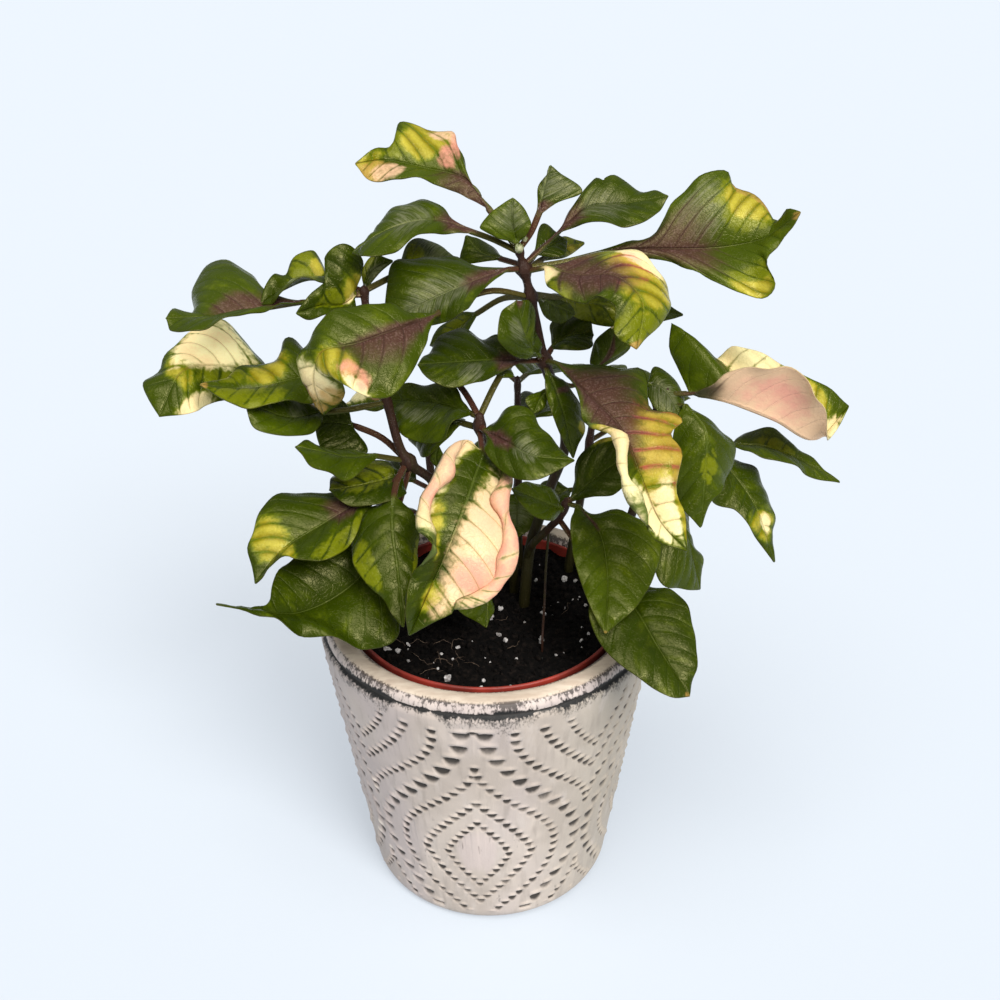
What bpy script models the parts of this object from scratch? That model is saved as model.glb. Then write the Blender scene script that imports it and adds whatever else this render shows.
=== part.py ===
"""Potted joyweed: a bushy variegated house plant in its nursery pot, standing in a cover pot.

Run with: blender --background --python part.py
Units are metres, +Z up. The origin is the middle of the cover pot's underside, and the
front of the plant is -Y. Points of stems and leaves are written in millimetres.
"""
import math

import bmesh
import bpy
import numpy as np
from mathutils import Vector, noise

MM = 0.001
GAP = 0.0003                     # air left between pieces that rest on each other

# Cover pot, glazed earthenware
POT_HEIGHT = 0.125
POT_BASE_RADIUS = 0.050
POT_SHOULDER_RADIUS = 0.0656     # widest place, just under the worn band
POT_SHOULDER_Z = 0.1175
POT_BAND_RADIUS = 0.0644
POT_BAND_Z = 0.1205
POT_LIP_OUTER = 0.0621
POT_LIP_INNER = 0.0545
POT_FLOOR = 0.008
POT_CAVITY_BASE = 0.0445
POT_FOOT_ROUND = 0.006
POT_SIDES = 60

# Nursery pot, thin red plastic
NURSERY_HEIGHT = POT_HEIGHT - POT_FLOOR - GAP
NURSERY_BASE_RADIUS = 0.0385
NURSERY_TOP_RADIUS = 0.0508
NURSERY_WALL = 0.0013
NURSERY_RIM_RADIUS = 0.0532
NURSERY_RIM_INNER = 0.0504
NURSERY_RIM_DEPTH = 0.011
NURSERY_SIDES = 48
DRAIN_RADIUS = 0.0035
DRAIN_RING = 0.024
DRAIN_COUNT = 6

# Potting soil
SOIL_LEVEL = 0.1200
SOIL_LUMP = 0.0016
SOIL_RINGS = 7
SOIL_SIDES = 32
HOLE_DEPTH = 0.025
STEM_SUNK = 0.022
ROOTLET_END = (21, -26, 115)

# Leaves
BLADE_THICK = 0.0007
STALK_WIDE = 1.15                # half width of a leaf stalk, mm
STALK_THICK = 0.0019
TIP_WIDE = 0.5                   # half width of the leaf's very tip, mm
PILLOW = 0.10                    # how far each half blade bulges between midrib and margin


def material(name, colour, roughness, metallic=0.0):
    mat = bpy.data.materials.new(name)
    mat.use_nodes = True
    shader = mat.node_tree.nodes["Principled BSDF"]
    shader.inputs["Base Color"].default_value = (*colour, 1.0)
    shader.inputs["Roughness"].default_value = roughness
    shader.inputs["Metallic"].default_value = metallic
    return mat


def new_object(name, mesh, collection, mat=None):
    obj = bpy.data.objects.new(name, mesh)
    collection.objects.link(obj)
    if mat:
        mesh.materials.append(mat)
    return obj


def make_active(obj):
    for other in bpy.context.selected_objects:
        other.select_set(False)
    obj.select_set(True)
    bpy.context.view_layer.objects.active = obj


def apply_modifiers(obj):
    make_active(obj)
    for modifier in list(obj.modifiers):
        bpy.ops.object.modifier_apply(modifier=modifier.name)


def arc(centre, radius, start, end, steps):
    """Points of an arc in the profile plane, angles in degrees from +X."""
    points = []
    for i in range(steps + 1):
        angle = math.radians(start + (end - start) * i / steps)
        points.append((centre[0] + radius * math.cos(angle), centre[1] + radius * math.sin(angle)))
    return points


def turned(name, profile, sides, collection, mat):
    """A profile of (radius, height) points spun round the Z axis."""
    mesh = bpy.data.meshes.new(name)
    mesh.from_pydata([(r, 0.0, z) for r, z in profile], [(i, i + 1) for i in range(len(profile) - 1)], [])
    obj = new_object(name, mesh, collection, mat)
    screw = obj.modifiers.new("Turn", "SCREW")
    screw.steps = sides
    screw.render_steps = sides
    screw.use_merge_vertices = True
    screw.merge_threshold = 0.00001
    screw.use_smooth_shade = True
    apply_modifiers(obj)
    return obj


def cutter_cylinder(name, radius, depth, location, collection):
    bpy.ops.mesh.primitive_cylinder_add(vertices=12, radius=radius, depth=depth, location=location)
    obj = bpy.context.active_object
    obj.name = name
    for owner in list(obj.users_collection):
        owner.objects.unlink(obj)
    collection.objects.link(obj)
    obj.hide_render = True
    obj.display_type = "WIRE"
    return obj


def cut(obj, cutter, solver="EXACT"):
    boolean = obj.modifiers.new("Cut " + cutter.name, "BOOLEAN")
    boolean.operation = "DIFFERENCE"
    boolean.solver = solver
    boolean.object = cutter


def cover_pot(collection, mat):
    lip_middle = (POT_LIP_OUTER + POT_LIP_INNER) / 2
    foot = POT_FOOT_ROUND
    profile = [(0.0, POT_FLOOR), (POT_CAVITY_BASE - 0.003, POT_FLOOR), (POT_CAVITY_BASE, POT_FLOOR + 0.003)]
    profile += [(POT_LIP_INNER, POT_HEIGHT - 0.004)]
    profile += [(POT_LIP_INNER + 0.001, POT_HEIGHT - 0.0012), (lip_middle, POT_HEIGHT + 0.0004)]
    profile += [(POT_LIP_OUTER, POT_HEIGHT), (POT_BAND_RADIUS, POT_BAND_Z)]
    profile += [(POT_SHOULDER_RADIUS, POT_SHOULDER_Z)]
    profile += arc((POT_BASE_RADIUS - foot + 0.0006, foot), foot, 5, -90, 5)
    profile += [(0.0, 0.0)]
    return turned("cover_pot", profile, POT_SIDES, collection, mat)


def nursery_pot(collection, cutters, mat):
    base = POT_FLOOR + GAP
    top = base + NURSERY_HEIGHT
    wall = NURSERY_WALL
    shoulder = top - NURSERY_RIM_DEPTH
    profile = [(0.0, base + wall), (NURSERY_BASE_RADIUS - wall, base + wall)]
    profile += [(NURSERY_TOP_RADIUS - wall, shoulder), (NURSERY_RIM_INNER, shoulder + 0.002)]
    profile += [(NURSERY_RIM_INNER, top - 0.0008), (NURSERY_RIM_INNER + 0.0008, top)]
    profile += [(NURSERY_RIM_RADIUS - 0.0008, top), (NURSERY_RIM_RADIUS, top - 0.0008)]
    profile += [(NURSERY_RIM_RADIUS - 0.0004, shoulder), (NURSERY_TOP_RADIUS, shoulder)]
    profile += [(NURSERY_BASE_RADIUS, base), (0.0, base)]
    pot = turned("nursery_pot", profile, NURSERY_SIDES, collection, mat)
    for i in range(DRAIN_COUNT):
        angle = 2 * math.pi * i / DRAIN_COUNT
        place = (DRAIN_RING * math.cos(angle), DRAIN_RING * math.sin(angle), base)
        cut(pot, cutter_cylinder("drain_hole_%d" % i, DRAIN_RADIUS, 4 * wall, place, cutters))
    return pot


def soil_height(x, y):
    """Lumpy top of the potting soil, a little lower round the edge."""
    lumps = noise.noise(Vector((x * 120, y * 120, 3.0))) + 0.6 * noise.noise(Vector((x * 310, y * 310, 8.0)))
    return SOIL_LEVEL + SOIL_LUMP * lumps


def soil(collection, cutters, mat, stems):
    """A plug of soil that fills the nursery pot, with a plain hole for each stem."""
    bottom = POT_FLOOR + GAP + NURSERY_WALL + GAP
    edge_top = NURSERY_RIM_INNER - 2 * GAP
    shoulder = POT_HEIGHT - NURSERY_RIM_DEPTH
    neck = NURSERY_TOP_RADIUS - NURSERY_WALL - 2 * GAP
    foot = NURSERY_BASE_RADIUS - NURSERY_WALL - 2 * GAP
    profile = [(edge_top * i / SOIL_RINGS, SOIL_LEVEL) for i in range(SOIL_RINGS + 1)]
    profile += [(edge_top, shoulder + 0.0035), (neck, shoulder - 0.001), (foot, bottom), (0.0, bottom)]
    plug = turned("soil", profile, SOIL_SIDES, collection, mat)
    for vertex in plug.data.vertices:
        if vertex.co.z > SOIL_LEVEL - 0.0001:
            vertex.co.z = soil_height(vertex.co.x, vertex.co.y)
    for name, stem in stems.items():
        x, y, z = stem["route"][0]
        radius = stem["thick"][0] * MM + 2 * GAP
        place = (x * MM, y * MM, SOIL_LEVEL + 0.01 - HOLE_DEPTH / 2)
        cut(plug, cutter_cylinder("hole_" + name, radius, HOLE_DEPTH + 0.02, place, cutters), "MANIFOLD")
    x, y, z = ROOTLET_END
    rootlet = cutter_cylinder("hole_rootlet", 0.0012, 0.016, (x * MM, y * MM, SOIL_LEVEL), cutters)
    cut(plug, rootlet, "MANIFOLD")
    return plug


def smooth_curve(points, fractions):
    """A smooth curve through the points, read at fractions of its length."""
    p = np.array(points, float)
    if len(p) == 2:
        return p[0] + (p[1] - p[0]) * np.array(fractions)[:, None]
    knots = np.r_[0, np.cumsum(np.linalg.norm(np.diff(p, axis=0), axis=1) ** 0.75)]
    knots /= knots[-1]
    slopes = np.diff(p, axis=0) / np.diff(knots)[:, None]
    tangents = np.vstack([slopes[:1], slopes[1:], slopes[-1:]])
    for i in range(1, len(p) - 1):
        share = (knots[i] - knots[i - 1]) / (knots[i + 1] - knots[i - 1])
        tangents[i] = slopes[i - 1] * (1 - share) + slopes[i] * share
    curve = []
    for t in fractions:
        i = min(max(int(np.searchsorted(knots, t)) - 1, 0), len(p) - 2)
        span = knots[i + 1] - knots[i]
        s = (t - knots[i]) / span
        curve.append((2 * s**3 - 3 * s**2 + 1) * p[i] + (s**3 - 2 * s**2 + s) * span * tangents[i]
                     + (3 * s**2 - 2 * s**3) * p[i + 1] + (s**3 - s**2) * span * tangents[i + 1])
    return np.array(curve)


def unit(vector):
    return vector / max(np.linalg.norm(vector), 1e-9)


def leaf(stalk, mid, left, right):
    """A leaf: its stalk from the stem to the blade, then midrib, left and right margin.

    Left and right are the leaf's own, seen from above with the tip pointing away.
    """
    return {"stalk": stalk, "mid": mid, "left": left, "right": right}


def plain_leaf(root, heading, rise, length, width, droop, twist=0.0):
    """An ordinary leaf by rule: it leaves root at a heading (degrees, 0 = +X), climbs at rise
    degrees, and droops by droop mm at its tip. Twist turns the blade about its midrib."""
    yaw, pitch, roll = (math.radians(a) for a in (heading, rise, twist))
    ahead = np.array([math.cos(yaw) * math.cos(pitch), math.sin(yaw) * math.cos(pitch), math.sin(pitch)])
    across = np.array([math.sin(yaw), -math.cos(yaw), 0.0])
    up = np.cross(across, ahead)
    side = across * math.cos(roll) + up * math.sin(roll)
    lift = np.cross(side, ahead)

    def along(t):
        return np.array(root, float) + ahead * length * t - np.array([0.0, 0.0, droop * t**2])

    half = width / 2
    stations = ((0.42, 0.80, 0.10), (0.60, 1.0, 0.16), (0.82, 0.62, 0.02))
    margins = []
    for sign in (-1, 1):
        margins.append([tuple(along(t) + side * sign * half * w + lift * width * fold) for t, w, fold in stations])
    mid = [tuple(along(t)) for t in (0.22, 0.5, 0.78, 1.0)]
    return leaf([root], mid, margins[0], margins[1])


def blade_rows(shape, steps):
    """Points across the blade in rows from the stalk's end to the tip, left margin to right."""
    mid, left, right = (np.array(shape[key], float) for key in ("mid", "left", "right"))
    start_side = unit(right[0] - left[0])
    tip_side = unit(right[-1] - left[-1])
    fractions = np.linspace(0, 1, steps + 1)
    left_rail = [mid[0] - start_side * STALK_WIDE, *left, mid[-1] - tip_side * TIP_WIDE]
    right_rail = [mid[0] + start_side * STALK_WIDE, *right, mid[-1] + tip_side * TIP_WIDE]
    centre = smooth_curve(mid, fractions)
    rails = smooth_curve(left_rail, fractions), smooth_curve(right_rail, fractions)
    rows = []
    for i in range(steps + 1):
        ahead = unit(centre[min(i + 1, steps)] - centre[max(i - 1, 0)])
        up = unit(np.cross(rails[1][i] - rails[0][i], ahead))
        row = []
        for place in (-1.0, -0.5, 0.0, 0.5, 1.0):
            reach = rails[0 if place < 0 else 1][i] - centre[i]
            s = abs(place)
            bulge = PILLOW * np.linalg.norm(reach) * 4 * s * (1 - s)
            row.append(centre[i] + reach * s + up * bulge)
        rows.append(row)
    return np.array(rows)


def leaf_mesh(name, shape):
    """One closed blade with its stalk: a waved sheet, given thickness on both faces."""
    steps = max(4, max(len(shape["left"]), len(shape["right"])) + 1)
    blade = blade_rows(shape, steps)
    stalk_points = [*shape["stalk"], shape["mid"][0]]
    stalk_steps = 2 * (len(stalk_points) - 1)
    line = smooth_curve(stalk_points, np.linspace(0, 1, stalk_steps + 1))
    stalk = []
    for i in range(stalk_steps):
        ahead = unit(line[i + 1] - line[max(i - 1, 0)])
        side = unit(blade[1][4] - blade[1][0])
        side = unit(side - ahead * side.dot(ahead))
        stalk.append([line[i] + side * STALK_WIDE * place for place in (-1.0, -0.5, 0.0, 0.5, 1.0)])
    rows = np.vstack([np.array(stalk), blade]) * MM

    count = len(rows)
    normals = np.zeros_like(rows)
    for i in range(count):
        ahead = rows[min(i + 1, count - 1)] - rows[max(i - 1, 0)]
        for j in range(5):
            across = rows[i][min(j + 1, 4)] - rows[i][max(j - 1, 0)]
            normals[i, j] = unit(np.cross(across, ahead[j]))
        if i < stalk_steps or i == count - 1:
            normals[i] = unit(normals[i].sum(axis=0))
    halves = np.zeros((count, 5))
    for i in range(count):
        leafy = min(max((i - stalk_steps) / 2.5, 0.0), 1.0)
        for j, place in enumerate((-1.0, -0.5, 0.0, 0.5, 1.0)):
            round_half = STALK_THICK / 2 * math.sqrt(max(1 - place**2, 0.16))
            blade_half = BLADE_THICK / 2 * (1.35 if place == 0 else 1.0)
            halves[i, j] = round_half * (1 - leafy) + blade_half * leafy

    bm = bmesh.new()
    top = [[bm.verts.new(rows[i, j] + normals[i, j] * halves[i, j]) for j in range(5)] for i in range(count)]
    low = [[bm.verts.new(rows[i, j] - normals[i, j] * halves[i, j]) for j in range(5)] for i in range(count)]
    for i in range(count - 1):
        for j in range(4):
            bm.faces.new((top[i][j], top[i][j + 1], top[i + 1][j]))
            bm.faces.new((top[i][j + 1], top[i + 1][j + 1], top[i + 1][j]))
            bm.faces.new((low[i][j + 1], low[i][j], low[i + 1][j]))
            bm.faces.new((low[i + 1][j + 1], low[i][j + 1], low[i + 1][j]))
        for j, flip in ((0, False), (4, True)):
            a, b, c, d = top[i][j], top[i + 1][j], low[i + 1][j], low[i][j]
            for face in ((a, b, c), (a, c, d)):
                bm.faces.new(face[::-1] if flip else face)
    for i, flip in ((0, False), (count - 1, True)):
        ring = [*top[i], *low[i][::-1]]
        bm.faces.new(ring[::-1] if not flip else ring)
    bmesh.ops.recalc_face_normals(bm, faces=bm.faces)
    mesh = bpy.data.meshes.new(name)
    bm.to_mesh(mesh)
    bm.free()
    return mesh


def stem_tube(name, route, thick, collection, mat, sunk=True):
    """A stem: a tube along its route, thicker at the foot, with welded ends."""
    fractions = np.linspace(0, 1, 2 * len(route) - 1)
    points = smooth_curve(route, fractions)
    radii = np.interp(fractions, np.linspace(0, 1, len(thick)), thick)
    if sunk:
        points = np.vstack([points[0] - [0.0, 0.0, STEM_SUNK / MM], points])
        radii = np.r_[thick[0], radii]
    curve = bpy.data.curves.new(name, "CURVE")
    curve.dimensions = "3D"
    curve.bevel_depth = MM
    curve.bevel_resolution = 1
    curve.use_fill_caps = True
    spline = curve.splines.new("POLY")
    spline.points.add(len(points) - 1)
    for place, point, radius in zip(spline.points, points, radii):
        place.co = (*(point * MM), 1.0)
        place.radius = radius
    guide = bpy.data.objects.new(name + "_guide", curve)
    collection.objects.link(guide)
    evaluated = guide.evaluated_get(bpy.context.evaluated_depsgraph_get())
    mesh = bpy.data.meshes.new_from_object(evaluated)
    mesh.name = name
    bm = bmesh.new()
    bm.from_mesh(mesh)
    bmesh.ops.remove_doubles(bm, verts=bm.verts, dist=0.00001)
    bmesh.ops.recalc_face_normals(bm, faces=bm.faces)
    bm.to_mesh(mesh)
    bm.free()
    bpy.data.objects.remove(guide)
    mesh.materials.clear()
    return new_object(name, mesh, collection, mat)


def rooted(shape, line):
    """The same leaf with its stalk starting on the nearest stem's centre line."""
    gaps = np.linalg.norm(line - np.array(shape["stalk"][0], float), axis=1)
    return dict(shape, stalk=[tuple(line[int(np.argmin(gaps))]), *shape["stalk"][1:]])


def bud_mesh(name, place, size):
    """A tight flower bud at a stem's tip."""
    bm = bmesh.new()
    bmesh.ops.create_uvsphere(bm, u_segments=8, v_segments=5, radius=size * MM)
    bmesh.ops.scale(bm, vec=(1.0, 1.0, 1.3), verts=bm.verts)
    bmesh.ops.translate(bm, vec=Vector(place) * MM, verts=bm.verts)
    mesh = bpy.data.meshes.new(name)
    bm.to_mesh(mesh)
    bm.free()
    return mesh


def leafy_stem(name, stem, collection, mat):
    """A stem with its leaves and buds grown together in one solid."""
    obj = stem_tube(name, stem["route"], stem["thick"], collection, mat)
    growth = bpy.data.collections.new("growth_" + name)
    bpy.context.scene.collection.children.link(growth)
    tubes = [(stem["route"], stem["thick"]), *stem.get("branches", ())]
    line = np.vstack([smooth_curve(route, np.linspace(0, 1, 120)) for route, thick in tubes])
    for i, (route, thick) in enumerate(stem.get("branches", ())):
        stem_tube("%s_branch_%d" % (name, i), route, thick, growth, None, sunk=False)
    for key, shape in stem["leaves"].items():
        new_object(name + "_" + key, leaf_mesh(name + "_" + key, rooted(shape, line)), growth)
    for i, (place, size) in enumerate(stem.get("buds", ())):
        new_object("%s_bud_%d" % (name, i), bud_mesh("bud", place, size), growth)
    join = obj.modifiers.new("Grow together", "BOOLEAN")
    join.operation = "UNION"
    join.operand_type = "COLLECTION"
    join.collection = growth
    join.solver = "MANIFOLD"
    apply_modifiers(obj)
    for helper in list(growth.objects):
        bpy.data.objects.remove(helper)
    bpy.data.collections.remove(growth)
    obj.data.materials.clear()
    obj.data.materials.append(mat)
    obj.data.shade_smooth()
    obj.data.set_sharp_from_angle(angle=math.radians(50))
    return obj


def upright(x, y, *rest):
    """A stem's route: out of its hole in the soil, then through the points that follow."""
    return [(x, y, SOIL_LEVEL / MM + 3), *rest]


STEMS = {}

STEMS["leafy_stem_centre"] = {
    "route": upright(15, 4, (17, 5, 145), (24, 2, 173), (30, 3, 193), (28, 4, 207), (22, 3, 226),
                     (17, 1, 251), (13, 0, 268)),
    "thick": (2.3, 2.2, 2.0, 1.9, 1.7, 1.2),
    "branches": (
        ([(16, 5, 142), (18, 0, 151), (24, -6, 162), (29, -12, 173), (30, -12, 178)], (1.6, 1.7, 1.5, 1.2)),
        ([(24, -5, 161), (23, -6, 145), (22, -16, 132), (21, -26, 125), ROOTLET_END], (0.5, 0.5)),
    ),
    "buds": (((13, -3, 269), 2.2), ((11, 0, 271), 1.8), ((15, 1, 271), 1.8)),
    "leaves": {
        "top_left": leaf(
            [(13, 0, 267), (7, 4, 275)],
            [(2, 8, 281), (-4, 12, 288), (-18, 16, 291), (-32, 16, 294), (-41, 12, 294)],
            [(-4, 9, 283), (-12, 8, 287), (-26, 6, 291), (-36, 8, 289)],
            [(-4, 13, 288), (-7, 20, 296), (-9, 28, 301), (-19, 30, 300), (-27, 28, 304),
             (-30, 22, 298), (-36, 16, 297)]),
        "silver": leaf(
            [(15, 0, 261)],
            [(9, -3, 262), (-3, -10, 260), (-17, -16, 256), (-32, -16, 248)],
            [(1, -14, 259), (-6, -26, 255), (-15, -22, 250), (-25, -18, 247)],
            [(3, 0, 262), (-10, 2, 264), (-20, 0, 266), (-28, -4, 265), (-32, -12, 255)]),
        "upper_left": leaf(
            [(12, 0, 267), (4, 2, 271)],
            [(-3, 1, 274), (-13, 0, 278), (-21, -4, 279), (-31, -8, 277), (-41, -14, 272)],
            [(-10, -4, 275), (-19, -12, 277), (-28, -20, 274), (-35, -22, 273)],
            [(-10, 4, 278), (-15, 8, 281), (-22, 12, 282), (-28, 8, 280), (-34, 0, 276)]),
        "young_front": leaf(
            [(12, 0, 268)],
            [(12, -2, 271), (11, 0, 276), (11, 4, 284)],
            [(0, -4, 277), (3, 0, 280)],
            [(17, -2, 277), (16, 2, 280)]),
        "young_upright": leaf(
            [(14, 0, 268), (17, 2, 273)],
            [(20, 5, 279), (22, 11, 286), (24, 14, 292)],
            [(20, 10, 283), (22, 14, 289)],
            [(26, 6, 282), (34, 10, 284), (30, 12, 288)]),
        "top_right": leaf(
            [(16, 2, 263)],
            [(21, 4, 267), (30, 6, 275), (37, 10, 279), (49, 10, 280), (63, 8, 283)],
            [(29, 8, 274), (35, 14, 284), (40, 18, 287), (42, 18, 285), (46, 20, 287),
             (55, 16, 283), (60, 12, 283)],
            [(30, 3, 274), (37, 0, 277), (45, -4, 277), (53, -2, 277), (60, 4, 279)]),
        "far_right": leaf(
            [(16, 2, 261), (29, 4, 262)],
            [(40, 6, 264), (53, 8, 265), (69, 10, 264), (85, 12, 264), (98, 12, 267), (108, 8, 277)],
            [(51, 10, 267), (62, 14, 270), (67, 20, 278), (76, 24, 285), (86, 26, 286),
             (89, 24, 282), (97, 22, 277), (102, 18, 272), (105, 12, 277)],
            [(55, 6, 262), (66, 6, 261), (74, 0, 259), (88, -4, 253), (96, -6, 252),
             (99, -6, 256), (97, 0, 263), (101, 4, 268), (106, 6, 273)]),
        "drooping_right": leaf(
            [(16, 0, 260)],
            [(22, -4, 263), (33, -10, 262), (44, -14, 263), (52, -22, 258), (50, -34, 246)],
            [(32, 0, 264), (41, 4, 265), (52, 6, 266), (59, 0, 260), (64, -8, 255), (60, -20, 251)],
            [(22, -14, 260), (28, -20, 258), (34, -24, 258), (39, -26, 260), (43, -26, 258),
             (43, -32, 250)]),
        "behind_top": leaf(
            [(15, 4, 262)],
            [(19, 8, 264), (25, 14, 265), (30, 18, 265)],
            [(22, 20, 270)],
            [(28, 10, 262)]),
        "behind_yellow": leaf(
            [(16, 6, 260)],
            [(22, 14, 260), (29, 22, 261), (37, 30, 260)],
            [(30, 28, 263)],
            [(31, 22, 258)]),
        "behind_left": leaf(
            [(13, 4, 262)],
            [(7, 8, 262), (0, 12, 263), (-5, 18, 267)],
            [(-7, 12, 260)],
            [(4, 18, 263)]),
        "thin_stalked": leaf(
            [(16, 4, 251), (7, 12, 246)],
            [(-2, 16, 239), (-10, 18, 232), (-19, 16, 227)],
            [(-7, 10, 232), (-15, 10, 228)],
            [(-10, 22, 236), (-16, 22, 231)]),
        "middle_left": leaf(
            [(22, 3, 226)],
            [(13, -4, 229), (3, -10, 232), (-9, -16, 234), (-21, -22, 236)],
            [(6, -16, 230), (-1, -24, 230), (-12, -28, 231), (-19, -26, 234)],
            [(6, 4, 235), (1, 4, 234), (-4, 4, 238), (-13, -2, 238), (-18, -12, 237)]),
        "folded_up": leaf(
            [(22, 3, 226)],
            [(20, -2, 230), (15, -8, 240), (12, -6, 252)],
            [(10, -14, 236), (6, -18, 243), (6, -12, 248), (8, -8, 250)],
            [(20, -2, 236), (19, 0, 243), (16, -2, 250)]),
        "long_variegated": leaf(
            [(22, 2, 226)],
            [(26, -4, 228), (36, -22, 224), (46, -36, 218), (52, -48, 206), (58, -56, 194),
             (66, -62, 187)],
            [(34, -6, 228), (45, -6, 228), (55, -10, 227), (58, -24, 220), (67, -30, 218),
             (63, -36, 217), (65, -42, 212), (64, -48, 204), (66, -56, 193)],
            [(31, -16, 226), (33, -32, 223), (34, -36, 218), (42, -44, 218), (43, -50, 210),
             (47, -56, 201), (56, -62, 191)]),
        "round_dark": leaf(
            [(22, 4, 227)],
            [(25, 8, 229), (32, 12, 232), (40, 14, 231)],
            [(25, 18, 234), (34, 20, 236), (39, 18, 235)],
            [(28, 4, 230), (38, 6, 229)]),
        "short_upright": leaf(
            [(23, 4, 220), (33, 8, 214)],
            [(40, 8, 220), (45, 6, 227), (47, 8, 237)],
            [(40, 10, 230)],
            [(53, 8, 230)]),
        "hanging_dark": leaf(
            [(22, 3, 225)],
            [(23, 0, 223), (26, -4, 217), (29, -8, 208), (32, -10, 194)],
            [(29, 1, 218), (35, -1, 211), (36, -3, 203), (34, -7, 197)],
            [(22, -5, 220), (24, -9, 212), (28, -11, 202)]),
        "small_green": leaf(
            [(24, 4, 214)],
            [(22, -1, 216), (20, -4, 214), (18, -8, 211)],
            [(22, -5, 212)],
            [(15, -6, 215)]),
        "behind_right": leaf(
            [(17, 2, 252)],
            [(28, 12, 246), (41, 20, 241), (58, 24, 237), (74, 28, 233)],
            [(43, 27, 243), (57, 31, 241), (66, 30, 238)],
            [(33, 15, 238), (43, 18, 233), (56, 18, 233), (67, 22, 233)]),
        "under_right": leaf(
            [(17, 2, 251)],
            [(20, 4, 249), (27, 9, 244), (33, 12, 240)],
            [(26, 13, 247), (31, 16, 244)],
            [(22, 5, 242), (28, 8, 238)]),
        "rolled_tip": leaf(
            [(15, 1, 250), (4, -4, 255), (-5, -8, 254)],
            [(-15, -24, 254), (-27, -36, 254), (-39, -42, 252), (-49, -46, 251), (-52, -46, 243),
             (-51, -40, 227)],
            [(-17, -36, 251), (-20, -46, 246), (-29, -54, 239), (-39, -56, 243), (-44, -52, 246),
             (-43, -44, 236)],
            [(-19, -26, 256), (-29, -28, 259), (-41, -32, 261), (-51, -36, 256), (-56, -40, 249),
             (-57, -40, 238)]),
    },
}

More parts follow.
